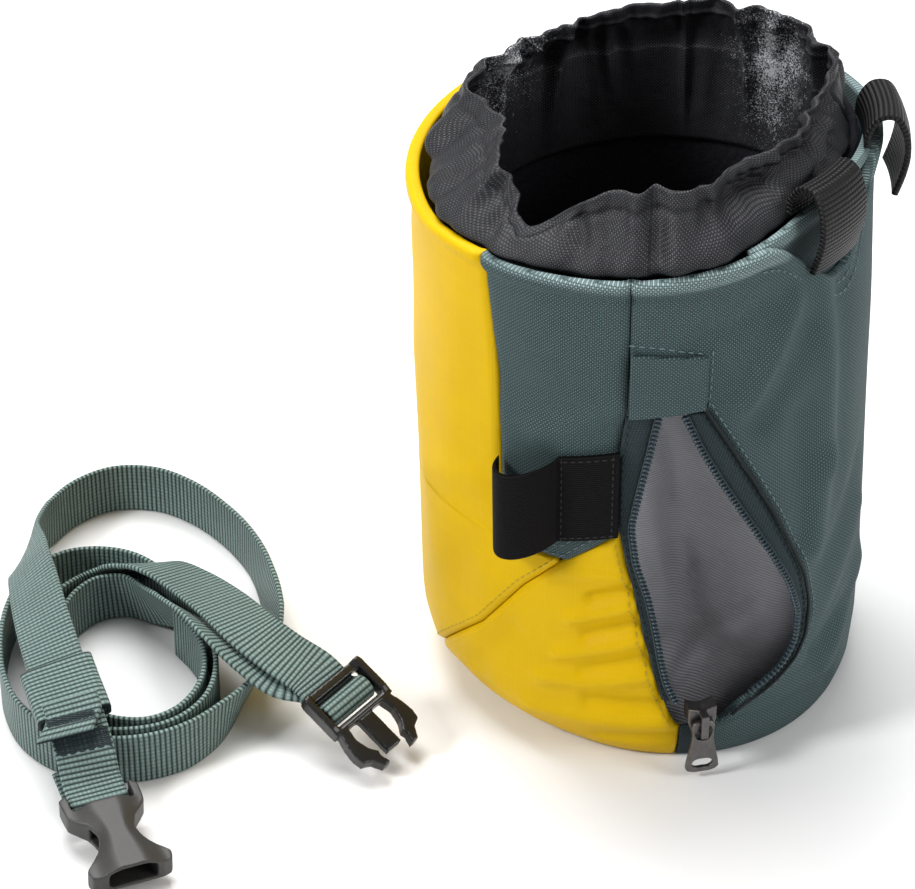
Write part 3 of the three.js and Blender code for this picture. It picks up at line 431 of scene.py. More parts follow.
lower_crease_rows = table(crease_columns, [
    (-18, 60, -1, 61, 0.8, 2.4), (-12, 53, -1, 57, -1.5, 1.9), (-17, 46, 0, 53, 1.5, 2.2),
    (-13, 41, 1, 47, -1.6, 2.0), (-20, 34, 2, 42, 1.5, 2.4), (-14, 29, 3, 36, -1.4, 2.2),
    (-24, 25, 4, 30, 1.3, 2.6), (-12, 20, 7, 20, -1.5, 2.4), (-28, 14, 8, 14, 0.9, 3),
    (-9, 8, 10, 10, -0.9, 2), (-30, 12, -24, 44, 0.8, 6), (-46, 18, -34, 36, -0.9, 4),
    (-60, 8, -44, 12, -0.6, 4),
])
lower_panel = cloth_panel(
    "lower_panel", yellow,
    lambda share: front_seam(np.minimum(share, tongue_tip)), left_of_zip,
    high=lambda across: tongue_tip + across * gusset_rise,
    rows=lower_crease_rows, top_seam=0.6, step=1.0)
settle(lower_panel, "yellow_nylon", "lower_panel")

# Brush panel
# Teal cloth of coarse plain weave, folded over at the rim. It carries the brush loop and
# ends in a tongue that is sewn over the lower panel.
brush_low_rows = [
    dict(across=0, height=0.4381),
    dict(across=0.55, height=0.4268),
    dict(across=1, height=0.497),
]


def teal_cloth():
    finish = Finish("teal_fabric")
    x, y = finish.weave_place()
    weft, warp = over_and_under(finish, x, y, 0.56, 1.12)
    yarn = finish.noise(2600, 1)
    cloud = finish.noise(45, 3)
    threads = weft ** 1.4 * (0.7 + yarn * 0.6) + warp * 0.36
    dark = finish.blend(cloud, (0.010, 0.020, 0.022), (0.015, 0.028, 0.030))
    light = finish.blend(cloud, (0.104, 0.160, 0.168), (0.140, 0.206, 0.212))
    colour = finish.blend(threads.at_most(1), dark, light)
    # Painted highlight: from 145.4 mm up, the thread tops of each teal panel are blended towards a
    # pale teal, as if the rolled rim caught light from above.
    rim_top_highlight = ((y - 145.4) / 2).at_least(0).at_most(1)
    colour = finish.blend(rim_top_highlight * threads.at_most(1) * 0.9, colour, (0.36, 0.47, 0.47))
    normal = finish.bumps(weft + warp * 0.8, 0.16, 0.9)
    soft = finish.bumps(finish.noise(150, 2), 0.5, 0.3, normal)
    return finish.surface(Base_Color=colour, Roughness=0.66, Normal=soft,
                          Specular_IOR_Level=0.18)


brush_crease_rows = [
    dict(from_angle=-34, from_height=112, to_angle=-8, to_height=104, push=-1.4, width=7),
    dict(from_angle=-12, from_height=120, to_angle=-34, to_height=146, push=0.5, width=6),
    dict(from_angle=-26, from_height=100, to_angle=-5, to_height=112, push=1.3, width=4),
]
teal = teal_cloth()
brush_panel = cloth_panel(
    "brush_panel", teal,
    lambda share: np.where(share < tongue_top, -37.5, front_seam(share)), left_of_zip,
    low=lambda across: read_table(brush_low_rows, "across", "height", across),
    rows=brush_crease_rows)
settle(brush_panel, "teal_fabric", "brush_panel")

# Side panel
# The same teal cloth from the zip round to the back seam. Its top edge scoops down
# behind the belt loops, where the yoke shows.
scoop_angle = 62
scoop_turn = 34


def scoop(angle):
    """How far the rim falls behind the belt loops, as a share of its height."""
    turn = np.minimum(1, np.abs(angle - scoop_angle) / scoop_turn)
    return scoop_depth * 0.5 * (1 + np.cos(np.pi * turn))


side_crease_rows = table(crease_columns, [
    (25, 111, 40, 134, 2.2, 3.6), (29, 104, 45, 124, -2.0, 4.4), (12, 131, 30, 136, -0.9, 3.4),
    (52, 136, 51, 84, 1.7, 4.6), (51, 86, 46, 62, 1.6, 4.2), (41, 102, 42, 68, -1.8, 4.2),
    (60, 126, 58, 70, -1.2, 5), (78, 36, 56, 15, 1.6, 4.5), (70, 30, 52, 24, -1.8, 4),
    (74, 56, 52, 40, 1.3, 5), (50, 52, 74, 70, -1.2, 5), (30, 13, 62, 7, -1.2, 3.5),
    (112, 16, 132, 120, 1.4, 10), (128, 10, 140, 90, -1.6, 7), (168, 22, 150, 118, -1.6, 9),
    (160, 60, 176, 132, 1.3, 8), (190, 14, 200, 110, 1.2, 8), (118, 136, 164, 126, -0.9, 5),
])
side_panel = cloth_panel(
    "side_panel", teal, right_of_zip, back_seam, rows=side_crease_rows, wide=205, foot_seam=0,
    dip=scoop)
settle(side_panel, "teal_fabric", "side_panel")

# Rear yoke
# A band of the teal cloth inside the scooped edge, up to the rim. The belt loops are
# caught between the two.
inner_wall = 1.2
yoke_inset = shell_wall + layer_gap
yoke_low = 0.8027
rear_yoke = cloth_panel(
    "rear_yoke", teal, scoop_angle - scoop_turn - 2, scoop_angle + scoop_turn + 2,
    wall=inner_wall, inset=yoke_inset, low=yoke_low, seams=0)
settle(rear_yoke, "teal_fabric", "rear_yoke")

# Base disc
# A stiff round of the teal cloth, sewn inside the lower edge of the panels.
base_wall = 2.2
base_angle = np.arange(0, 360, 2.0)[:, None]
base_share = np.array([0, 0.2, 0.4, 0.6, 0.8, 0.94, 0.98, 0.995, 1])[None, :]
base_edge = shell_radius(base_angle, 0 * base_share) - shell_wall
base_radius = base_edge * base_share
base_round = half_wall(base_edge * (1 - base_share), base_wall)
base_disc = soft_wall(
    "base_disc",
    around(base_angle, base_radius, base_wall / 2 - base_round),
    around(base_angle, base_radius, base_wall / 2 + base_round),
    around(base_angle, base_radius, 0)[..., :2], teal, closed=True, pole=True)
settle(base_disc, "teal_fabric", "base_disc")

# Pocket lining
# A flat pouch of grey twill behind the open zip, sewn in along the tapes. It bellies in
# toward the cup.
pocket_left = -10
pocket_right = 48
pocket_low = 0.045
pocket_high = 0.8
pocket_depth = 19


def pocket_hollow(angle, share):
    """Depth of the open pocket, none outside its outline."""
    across = (turn_between(angle, 0) - pocket_left) / (pocket_right - pocket_left)
    up = (share - pocket_low) / (pocket_high - pocket_low)
    inside = (across > 0) & (across < 1) & (up > 0) & (up < 1)
    across = np.clip(across, 0, 1)
    up = np.clip(up, 0, 1)
    depth = np.sin(np.pi * across) ** 1.2 * np.sin(np.pi * up ** 0.85)
    return np.where(inside, pocket_depth * depth, 0)


def grey_twill():
    finish = Finish("grey_twill")
    x, y = finish.weave_place()
    ribs = abs(((x * 0.35 + y) * (math.pi / 0.8)).sine())
    cloud = finish.noise(60, 3)
    colour = finish.blend(ribs ** 0.6, (0.100, 0.101, 0.115), (0.310, 0.312, 0.340))
    # Painted shade: the twill grows darker towards the bottom of the pocket, from 62 mm height down
    # to 12 mm.
    deep = ((62 - y) / 50).at_least(0).at_most(1)
    colour = finish.blend(deep * 0.75, colour, (0.035, 0.036, 0.042))
    colour = finish.blend(cloud * 0.3, colour, (0.09, 0.09, 0.102))
    normal = finish.bumps(ribs, 0.16, 0.7)
    soft = finish.bumps(finish.noise(100, 2), 0.8, 0.4, normal)
    return finish.surface(Base_Color=colour, Roughness=0.48, Normal=soft,
                          Specular_IOR_Level=0.35)


pocket_crease_rows = table(crease_columns, [
    (-2, 92, 10, 40, 1.0, 3), (6, 98, 20, 50, -1.2, 3.5), (14, 70, 30, 32, 1.2, 4),
    (8, 30, 34, 26, -1.2, 3.5), (12, 20, 38, 40, 1.2, 3),
])
pocket_wide = 60
pocket_long = 113
pocket_step = 1.1
pocket_across = stations(pocket_wide, pocket_step)[:, None]
pocket_up = stations(pocket_long, pocket_step)[None, :]
pocket_angle = pocket_left + pocket_across * (pocket_right - pocket_left) + 0 * pocket_up
pocket_share = pocket_low + pocket_up * (pocket_high - pocket_low) + 0 * pocket_across
pocket_mid = yoke_inset + pocket_hollow(pocket_angle, pocket_share)
pocket_tall = pocket_share * rim_height
pocket_mid = pocket_mid - creases(pocket_crease_rows, pocket_angle, pocket_tall)
pocket_mid = np.maximum(pocket_mid, yoke_inset)
pocket_lining = soft_wall(
    "pocket_lining",
    on_shell(pocket_angle, pocket_share, pocket_mid),
    on_shell(pocket_angle, pocket_share, pocket_mid + inner_wall),
    laid_flat(pocket_angle * degree_length, pocket_tall), grey_twill())
settle(pocket_lining, "grey_twill", "pocket_lining")

# Cup lining
# Black fleece cup inside the bag, with a short pile that shows as a fuzzy line inside
# the rim. It is pressed in behind the pocket.
lining_wall = 2
lining_room = 2.9
lining_inset = shell_wall + lining_room
seam_gap = 0.3
lining_floor = base_wall + seam_gap


def black_fleece():
    finish = Finish("black_fleece")
    pile = finish.noise(1500, 3, 0.7)
    tufts = finish.noise(420, 2)
    colour = finish.blend(pile, (0.006, 0.006, 0.008), (0.035, 0.036, 0.043))
    fuzz = finish.bumps(pile, 0.6, 1.0)
    soft = finish.bumps(tufts, 0.9, 0.7, fuzz)
    return finish.surface(Base_Color=colour, Roughness=0.95, Normal=soft,
                          Specular_IOR_Level=0.08)


cup_angle = np.arange(0, 360, 1.5)[:, None]
cup_low = lining_floor / rim_height
over_rim_rows = table("angle out", [
    (-180, 0), (-82, 0), (-60, 4.8), (19, 5.1), (27, 3.3), (62, 3.2), (84, 2.4), (104, 0),
    (180, 0),
])
cup_drape = read_table(over_rim_rows, "angle", "out", turn_between(cup_angle, 0))
cup_top = 1 - (1 + 2.2 * np.minimum(1, cup_drape / 3)) / rim_height
cup_share = cup_low + np.linspace(0, 1, 90) * (cup_top - cup_low)
floor_radius = np.array([0, 0.25, 0.5, 0.75, 0.9, 0.97])


def cup_face(inner):
    """The cup from the middle of its floor out and up to its top edge."""
    deeper = lining_wall if inner else 0
    inset = lining_inset + deeper
    wall = on_shell(cup_angle, cup_share, inset + pocket_hollow(cup_angle, cup_share))
    foot = shell_radius(cup_angle, cup_low) - inset
    floor = around(cup_angle, foot * floor_radius, lining_floor + deeper)
    return np.concatenate([floor, wall], axis=1)


cup_outer = cup_face(False)
cup_inner = cup_face(True)
cup_inner[:, len(floor_radius), 2] = lining_floor + lining_wall
cup_lining = soft_wall(
    "lining", cup_outer, cup_inner,
    laid_flat(cup_outer[..., 0], cup_outer[..., 2]), black_fleece(), closed=True, pole=True)
settle(cup_lining, "black_fleece", "lining")

# Collar
# Thin dark nylon tube sewn inside the rim. It stands up at the back, falls inward at the
# front, and is gathered under the hem round its top edge. Chalk dust clings inside it.
collar_wall = 1.3
collar_rise = 15
collar_tuck = 26
collar_gap = 0.95
collar_radius = 46.5
collar_degree = math.radians(collar_radius)
collar_flare = 1.5
collar_inset = lining_inset + lining_wall + collar_gap
collar_fold_rows = table("angle turn depth", [
    (1, 4, 0.035), (38, 15, 0.27), (78, 15, 0.15), (-12, 5, 0.05), (-38, 9, -0.04),
    (-58, 8, 0.05), (-78, 8, 0.19), (-104, 10, -0.04), (-141, 14, 0.03), (171, 12, -0.025),
    (142, 16, -0.07),
])
collar_dip_rows = table("angle turn drop", [
    (-37, 10, 0.62), (-6, 12, -0.1), (38, 14, 0.2), (78, 16, 0.12), (-95, 24, -0.05),
])
collar_puff = 0.02
collar_puff_rows = [
    dict(angle=-80, turn=20, out=0.15),
    dict(angle=-30, turn=24, out=0.04),
    dict(angle=10, turn=13, out=0.09),
]
dust_rows = [
    dict(angle=233, reach=30, height=158, fall=40),
    dict(angle=143, reach=27, height=152, fall=46),
]


def dark_nylon():
    finish = Finish("dark_nylon")
    x, y = finish.weave_place()
    weft, warp = over_and_under(finish, x, y, 0.4)
    yarn = finish.noise(2600, 1)
    cloud = finish.noise(70, 3)
    # The pale thread dots are partly the weave's pattern and partly painted highlight: glints of
    # the glossy nylon put into its colour.
    threads = (weft ** 3.4 + warp ** 5 * 0.25) * (0.3 + yarn * 1.2)
    dark = finish.blend(cloud, (0.002, 0.002, 0.003), (0.004, 0.004, 0.005))
    light = finish.blend(cloud, (0.052, 0.054, 0.062), (0.125, 0.128, 0.144))
    colour = finish.blend(threads.at_most(1), dark, light)
    dust = None
    for row in dust_rows:
        aside = abs(x - row["angle"] * collar_degree) / (row["reach"] * collar_degree)
        below = abs(row["height"] - y) / row["fall"]
        patch = (1 - aside).at_least(0) * (1 - below).at_least(0)
        dust = patch if dust is None else dust.at_least(patch)
    grains = finish.noise(2300, 3, 0.75)
    drift = finish.noise(210, 3, 0.6)
    powder = ((grains + dust * 0.13 + drift * dust * 0.4 - 0.74) * 9).at_least(0).at_most(1)
    level = finish.node("ShaderNodeVectorMath", {"operation": "MULTIPLY"}, {
        0: finish.node("ShaderNodeTexCoord", None, None, "Object"), 1: (1, 1, 0)})
    facing = finish.node("ShaderNodeVectorMath", {"operation": "DOT_PRODUCT"}, {
        0: finish.node("ShaderNodeNewGeometry", None, None, "Normal"), 1: level}, "Value")
    powder = powder * (facing * -400).at_least(0).at_most(1)
    colour = finish.blend(powder * (dust * 6).at_most(0.85), colour, (0.62, 0.63, 0.66))
    normal = finish.bumps(weft + warp * 0.8, 0.1, 0.8)
    soft = finish.bumps(finish.noise(170, 3), 1.2, 0.5, normal)
    return finish.surface(Base_Color=colour, Roughness=0.52 - threads.at_most(1) * 0.26,
                          Normal=soft, Specular_IOR_Level=0.26)


def with_swells(level, rows, column, way):
    """A level with soft rises or falls added to it round the bag."""
    for row in rows:
        across = bump(turn_between(collar_angle, row["angle"]), row["turn"])
        level = level + way * row[column] * across
    return level


# Creases of the collar run from a place to a place in the cloth: degrees round the bag,
# and shares of the free cloth above the rim, or of the tuck where they are below none.
collar_crease_rows = table("angle low to_angle high push width", [
    (2.0, -0.1, 0.6, 1.0, -3.0, 2.3), (-4.5, 0.0, -5, 0.95, 2.0, 2.8),
    (8, 0.1, 7, 0.9, 1.0, 2.6), (10, 0.66, 44, 0.5, -3.2, 2.2), (8, 0.3, 46, 0.24, 2.2, 2.4),
    (14, 0.95, 50, 0.85, 1.4, 1.8), (44, 0.3, 84, 0.62, 2.2, 2.4),
    (50, 0.0, 80, 0.4, -2.2, 2.0), (56, 0.7, 92, 0.9, -1.8, 1.8),
    (-14, 0.0, -24, 0.9, -1.6, 2.0), (-22, 0.1, -34, 0.9, 1.9, 2.6),
    (-44, 0.0, -46, 1.0, -2.6, 2.2), (-53, 0.1, -55, 0.9, 2.0, 2.2),
    (-64, 0.2, -66, 0.9, -1.8, 1.8), (-73, 0.1, -75, 0.9, 1.6, 2.0),
    (-84, 0.1, -92, 1.0, -3.0, 2.4), (-100, 0.0, -98, 0.8, -1.4, 2.4),
    (-112, -0.8, -116, 0.9, 2.4, 2.6), (-122, -1.0, -127, 0.7, -2.8, 2.2),
    (-136, -1.0, -133, 0.9, 2.2, 2.6), (-145, -0.9, -150, 0.95, -2.8, 1.8),
    (-158, -1.0, -155, 0.8, 2.2, 2.8), (-167, -0.6, -163, 0.9, -2.0, 1.6),
    (171, -1.0, 172.5, 1.0, -1.6, 0.9), (160, -0.9, 163, 0.9, 2.0, 2.4),
    (150, -0.8, 154, 1.0, -2.8, 1.7), (139, -1.0, 137, 0.7, 2.4, 2.8),
    (126, -0.6, 121, 0.9, -2.6, 2.0), (112, -0.4, 116, 0.8, 2.2, 2.4),
    (100, -0.6, 98, 0.7, -2.0, 2.0),
])
gather_start = 0.8
gather_level = 0.88
gather_rows = [
    dict(count=17, phase=20, twist=50, depth=1.3),
    dict(count=31, phase=140, twist=-70, depth=1.0),
    dict(count=47, phase=250, twist=60, depth=0.5),
]


def collar_gathers(angle, up):
    """Small folds that run down from the hem and fade out, deepest at the back."""
    push = np.zeros(np.broadcast(angle, up).shape)
    drift = 25 * np.sin(np.radians(angle * 5)) + 30 * np.sin(np.radians(angle * 2 + 70))
    for row in gather_rows:
        wave = np.radians(angle * row["count"] / 2 + row["phase"] + row["twist"] * up + drift)
        push += row["depth"] * (np.abs(np.sin(wave)) - gather_level)
    behind = 0.85 + 0.4 * np.clip((np.abs(turn_between(angle, 0)) - 70) / 40, 0, 1)
    fade = np.where(up < gather_start, 0.75, 0.3)
    return push * behind * bump(up - gather_start, fade)


def collar_creases(angle, up):
    """How far the folds push the collar outward."""
    push = np.zeros(np.broadcast(angle, up).shape)
    level = np.where(up < 0, up * collar_tuck, up * collar_rise)
    for row in collar_crease_rows:
        low = row["low"] * (collar_tuck if row["low"] < 0 else collar_rise)
        rise = row["high"] * collar_rise - low
        swing = (row["to_angle"] - row["angle"]) * collar_degree
        x = turn_between(angle, row["angle"]) * collar_degree
        along = np.clip((x * swing + (level - low) * rise) / (swing ** 2 + rise ** 2), 0, 1)
        away = np.hypot(x - along * swing, level - low - along * rise)
        fade = np.clip(along * 2.5, 0, 1)
        push += row["push"] * fade * np.exp(-(away / row["width"]) ** 2)
    return push


collar_angle = np.arange(0, 360, 0.75)[:, None]
collar_up = np.concatenate([np.linspace(-1, -0.12, 22), np.linspace(-0.11, 0, 11),
                            np.linspace(0.02, 0.97, 42), [0.985, 1]])[None, :]
collar_rim = height_of_rim(collar_angle)
collar_free = with_swells(1, collar_dip_rows, "drop", -1) * collar_rise
collar_height = collar_rim + collar_up * np.where(collar_up < 0, collar_tuck, collar_free)
collar_tucked = shell_radius(collar_angle, np.minimum(1, collar_height / collar_rim))
collar_tucked = collar_tucked - collar_inset
collar_loose = np.maximum(0, collar_up)
collar_top = with_swells(1, collar_fold_rows, "depth", -1) * collar_radius
collar_top = np.minimum(collar_top, collar_tucked + collar_flare)
collar_back = np.clip((np.abs(turn_between(collar_angle, 0)) - 85) / 40, 0, 1)
collar_lean = np.sin(collar_loose ** (1 + 0.6 * collar_back) * np.pi / 2)
collar_middle = collar_tucked + collar_lean * (collar_top - collar_tucked)
collar_out = with_swells(collar_puff, collar_puff_rows, "out", 1) * collar_radius
collar_middle += collar_out * np.sin(np.pi * collar_loose ** 0.6)
collar_above = collar_height - collar_rim
collar_swell = eased((collar_above + 2.2) / 1.6)
collar_drape = read_table(over_rim_rows, "angle", "out", turn_between(collar_angle, 0))
collar_middle += collar_drape * collar_swell * np.exp(-(np.maximum(collar_above, 0) / 6) ** 2)
hem_place = 0.74
hem_pucker = 0.5
hem_groove = 0.7
fold_room = 0.45
fold_room_growth = 0.025
fold_limit = 2.5
pucker = np.sin(np.radians(collar_angle * 37 + 50 * np.sin(np.radians(collar_angle * 3))))
pucker = pucker + 0.7 * np.sin(np.radians(collar_angle * 59 + 40))
collar_push = collar_creases(collar_angle, collar_up) + collar_gathers(collar_angle, collar_up)
collar_push = collar_push + hem_pucker * pucker * bump(collar_up - hem_place, 0.13)
collar_push = collar_push - hem_groove * bump(collar_up - hem_place, 0.035)
collar_room = fold_room + fold_room_growth * np.maximum(0, collar_above + 1) ** 2
collar_short = np.logaddexp(0, (collar_room - collar_push) * fold_limit) / fold_limit
collar_push = collar_room - collar_short
collar_middle = collar_middle + collar_push - collar_wall / 2
collar_half = half_wall((1 - collar_up) * 12, collar_wall)
collar = soft_wall(
    "collar",
    around(collar_angle, collar_middle + collar_half, collar_height),
    around(collar_angle, collar_middle - collar_half, collar_height),
    laid_flat(collar_angle * collar_degree, collar_height), dark_nylon(), closed=True)
settle(collar, "dark_nylon", "collar")

# Zip flap
# A small patch of the teal cloth with its edges turned in. It is sewn over the top end of
# the zip and covers the ends of the teeth.
flap_wall = 1.1
flap_low = 0.7385
flap_right = 14.4
zip_flap = cloth_panel(
    "zip_flap", teal, upper_seam + 0.4, flap_right, wall=flap_wall, inset=-flap_wall - seam_gap,
    low=lambda across: flap_low + 0.009 * across,
    high=lambda across: flap_high - 0.018 * across, seams=0, step=0.9)
settle(zip_flap, "teal_fabric", "zip_flap")

# Zip tapes
# Two woven tapes in dark teal, one for each half of the coil zip. Each is sewn a little
# under the edge of the cloth on its side.
tape_wall = 1
tape_sink = 0.3
tape_margin = 0.15
coil_cover = 0.4
coil_width = 1.7
slider_share = 0.115
slider_length = 8.6
strip_low = slider_share + (slider_length / 2 + seam_gap) / rim_height
strip_high = 0.7358


def zip_tape_cloth():
    finish = Finish("zip_tape")
    x, y = finish.weave_place()
    weft, warp = over_and_under(finish, x + y * 0.5, y, 0.42, 0.8)
    speckle = finish.noise(1800, 2)
    threads = (weft + warp * 0.5) * (0.5 + speckle)
    colour = finish.blend(threads.at_most(1), (0.006, 0.011, 0.014), (0.045, 0.070, 0.077))
    return finish.surface(Base_Color=colour, Roughness=0.8, Specular_IOR_Level=0.2,
                          Normal=finish.bumps(threads, 0.14, 0.8))


def zip_strip(name, finish, left, right, inset, wall):
    across = np.linspace(0, 1, 7)[:, None]
    share = (strip_low + stations(90, 0.9) * (strip_high - strip_low))[None, :]
    start = left(share)
    angle = start + across * (right(share) - start)
    edge = np.minimum(across, 1 - across) * (right(share) - start) * degree_length
    half = half_wall(edge, wall)
    middle = inset + wall / 2
    return soft_wall(name, on_shell(angle, share, middle - half),
                     on_shell(angle, share, middle + half),
                     laid_flat(angle * degree_length, share * rim_height), finish)


tape_finish = zip_tape_cloth()
tape_left = zip_strip(
    "zip_tape_left", tape_finish, lambda share: zip_edge("cloth_left", share) + tape_margin,
    lambda share: zip_edge("teeth_left", share) + coil_cover, tape_sink, tape_wall)
tape_right = zip_strip(
    "zip_tape_right", tape_finish, lambda share: zip_edge("teeth_right", share) - coil_cover,
    lambda share: zip_edge("cloth_right", share) - tape_margin, tape_sink, tape_wall)
settle(tape_left, "zip_tape", "zip_tape_left")
settle(tape_right, "zip_tape", "zip_tape_right")

# Zip teeth
# Each side is one plastic thread wound into a coil and sewn to the edge of its tape. A
# coil shows as a row of small rounded teeth along a core.
tooth = dict(pitch=1.25, length=0.85, width=1.7, rise=1.7)
core_bead = dict(pitch=0.65, length=0.75, width=0.55, rise=0.6)
piping_bead = dict(pitch=0.5, length=0.72, width=1.0, rise=1.0)


def coil_plastic():
    finish = Finish("zip_coil")
    speckle = finish.noise(900, 2)
    colour = finish.blend(speckle, (0.008, 0.020, 0.028), (0.030, 0.056, 0.070))
    return finish.surface(Base_Color=colour, Roughness=0.3 + speckle * 0.15)


def repeat_tree(name):
    """Small rounded shapes laid at an even pitch along lines, lying along the line or
    across it, and turned to face the way that each line's points face."""
    tree = bpy.data.node_groups.new(name, "GeometryNodeTree")
    tree.interface.new_socket("Geometry", in_out="INPUT", socket_type="NodeSocketGeometry")
    for socket in ("Pitch", "Length", "Width", "Rise"):
        tree.interface.new_socket(socket, in_out="INPUT", socket_type="NodeSocketFloat")
    tree.interface.new_socket("Finish", in_out="INPUT", socket_type="NodeSocketMaterial")
    tree.interface.new_socket("Geometry", in_out="OUTPUT", socket_type="NodeSocketGeometry")
    made = {}

    def add(key, kind, links=(), **settings):
        node = tree.nodes.new(kind)
        for setting, value in settings.items():
            setattr(node, setting, value)
        for socket, (source, output) in dict(links).items():
            tree.links.new(made[source].outputs[output], node.inputs[socket])
        made[key] = node
        return node

    add("in", "NodeGroupInput")
    add("curve", "GeometryNodeMeshToCurve", {"Mesh": ("in", "Geometry")})
    add("even", "GeometryNodeResampleCurve",
        {"Curve": ("curve", "Curve"), "Length": ("in", "Pitch")}, mode="LENGTH")
    add("run", "GeometryNodeInputTangent")
    facing = add("facing", "GeometryNodeInputNamedAttribute", data_type="FLOAT_VECTOR")
    facing.inputs["Name"].default_value = "facing"
    add("turned", "FunctionNodeAlignRotationToVector", {"Vector": ("run", "Tangent")}, axis="X")
    add("faced", "FunctionNodeAlignRotationToVector",
        {"Rotation": ("turned", "Rotation"), "Vector": ("facing", "Attribute")},
        axis="Z", pivot_axis="X")
    ball = add("ball", "GeometryNodeMeshUVSphere")
    ball.inputs["Segments"].default_value = 8
    ball.inputs["Rings"].default_value = 5
    ball.inputs["Radius"].default_value = 0.5
    add("size", "ShaderNodeCombineXYZ",
        {"X": ("in", "Length"), "Y": ("in", "Width"), "Z": ("in", "Rise")})
    add("laid", "GeometryNodeInstanceOnPoints",
        {"Points": ("even", "Curve"), "Instance": ("ball", "Mesh"),
         "Rotation": ("faced", "Rotation"), "Scale": ("size", "Vector")})
    add("real", "GeometryNodeRealizeInstances", {"Geometry": ("laid", "Instances")})
    add("smooth", "GeometryNodeSetShadeSmooth", {"Geometry": ("real", "Geometry")})
    add("painted", "GeometryNodeSetMaterial",
        {"Geometry": ("smooth", "Geometry"), "Material": ("in", "Finish")})
    add("out", "NodeGroupOutput", {"Geometry": ("painted", "Geometry")})
    return tree


repeats = repeat_tree("small repeats along lines")


def lay_along(name, lines, finish, pitch, length, width, rise):
    """Repeats along lines of points, each a pair of places and facings."""
    mesh = bpy.data.meshes.new(name + "_lines")
    counts = [len(places) for places, facings in lines]
    starts = np.concatenate([[0], np.cumsum(counts)[:-1]])
    edges = [(int(s) + k, int(s) + k + 1) for s, n in zip(starts, counts) for k in range(n - 1)]
    points = np.concatenate([places for places, facings in lines]) * mm
    mesh.from_pydata(points.tolist(), edges, [])
    facing = mesh.attributes.new("facing", "FLOAT_VECTOR", "POINT")
    facings = np.concatenate([facings for places, facings in lines])
    facing.data.foreach_set("vector", facings.astype(np.float32).ravel())
    carrier = into_scene(name + "_lines", mesh)
    modifier = carrier.modifiers.new("repeats", "NODES")
    modifier.node_group = repeats
    values = dict(Pitch=pitch * mm, Length=length * mm, Width=width * mm, Rise=rise * mm,
                  Finish=finish)
    for item in repeats.interface.items_tree:
        if item.in_out == "INPUT" and item.name in values:
            modifier[item.identifier] = values[item.name]
    bpy.context.view_layer.update()
    made = finished_mesh(carrier)
    bpy.data.objects.remove(carrier)
    return into_scene(name, made)


def shell_line(angle, share, lift, rows=()):
    """A line over the cloth and the way that it faces at each point."""
    angle, share = np.broadcast_arrays(np.asarray(angle, float), np.asarray(share, float))
    push = creases(rows, angle, share * rim_height)
    places = on_shell(angle, share, -lift - push)
    return places, around(angle, np.ones(angle.shape), 0)


teeth_share = np.linspace(strip_low, strip_high, 160)
coil_finish = coil_plastic()
for side, sign in (("left", 1), ("right", -1)):
    middle = zip_edge("teeth_" + side, teeth_share) + sign * coil_width / 2 / degree_length
    teeth = lay_along("zip_teeth_" + side, [shell_line(middle + sign * 0.2, teeth_share, 0.55)],
                      coil_finish, **tooth)
    settle(teeth, "zip_coil", "zip_coil_" + side)
    core = lay_along("zip_core_" + side,
                     [shell_line(middle - sign * 0.75, teeth_share, 0.35)], coil_finish,
                     **core_bead)
    settle(core, "zip_coil")

# Piping
# A thin dark cord sewn into the cloth edge on the right of the zip, and the row of
# stitches that holds the tape beside it.
def plain_thread(name, colour):
    finish = Finish(name)
    strands = finish.noise(3000, 2)
    return finish.surface(Base_Color=finish.blend(strands, tuple(0.6 * c for c in colour), colour),
                          Roughness=0.6, Specular_IOR_Level=0.3)


dark_thread = plain_thread("dark_thread", (0.012, 0.018, 0.021))
teal_thread = plain_thread("teal_thread", (0.150, 0.215, 0.240))
black_thread = plain_thread("black_thread", (0.012, 0.011, 0.012))
yellow_thread = plain_thread("yellow_thread", (0.560, 0.400, 0.020))
stitch_pitch = 2.3
stitch_length = 1.7
thread_width = 0.42
thread_rise = 0.4
thread_lift = 0.05


def stitch_rows(name, lines, finish, slot, pitch=stitch_pitch, length=stitch_length):
    """Rows of single stitches that ride with the bag."""
    settle(lay_along(name, lines, finish, pitch, length, thread_width, thread_rise), slot)


piping_share = np.linspace(0.1, zip_top, 160)
piping = lay_along("piping", [shell_line(right_of_zip(piping_share) + 0.35, piping_share, 0.25)],
                   dark_thread, **piping_bead)
settle(piping, "zip_tape")
tape_rows = [
    shell_line(zip_edge("cloth_" + side, piping_share) + shift, piping_share, 0)
    for side, shift in (("left", 1), ("right", -1))]
stitch_rows("tape_stitches", tape_rows, dark_thread, "zip_tape")
stitch_rows("side_stitches", [shell_line(
    right_of_zip(piping_share) + 2.2, piping_share, thread_lift, side_crease_rows)],
    teal_thread, "teal_fabric")
gather_share = np.linspace(0.1, 0.47, 80)
stitch_rows("gather_stitches", [shell_line(
    zip_edge("cloth_left", gather_share) - 1.5, gather_share, thread_lift,
    lower_crease_rows)], yellow_thread, "yellow_nylon")


def through(spots, count=60):
    """Angles and shares of a smooth line through places on the cloth."""
    at = np.linspace(0, len(spots) - 1, count)
    spots = np.array(spots)
    angle, height = (np.interp(at, np.arange(len(spots)), column) for column in spots.T)
    return angle, height / rim_height


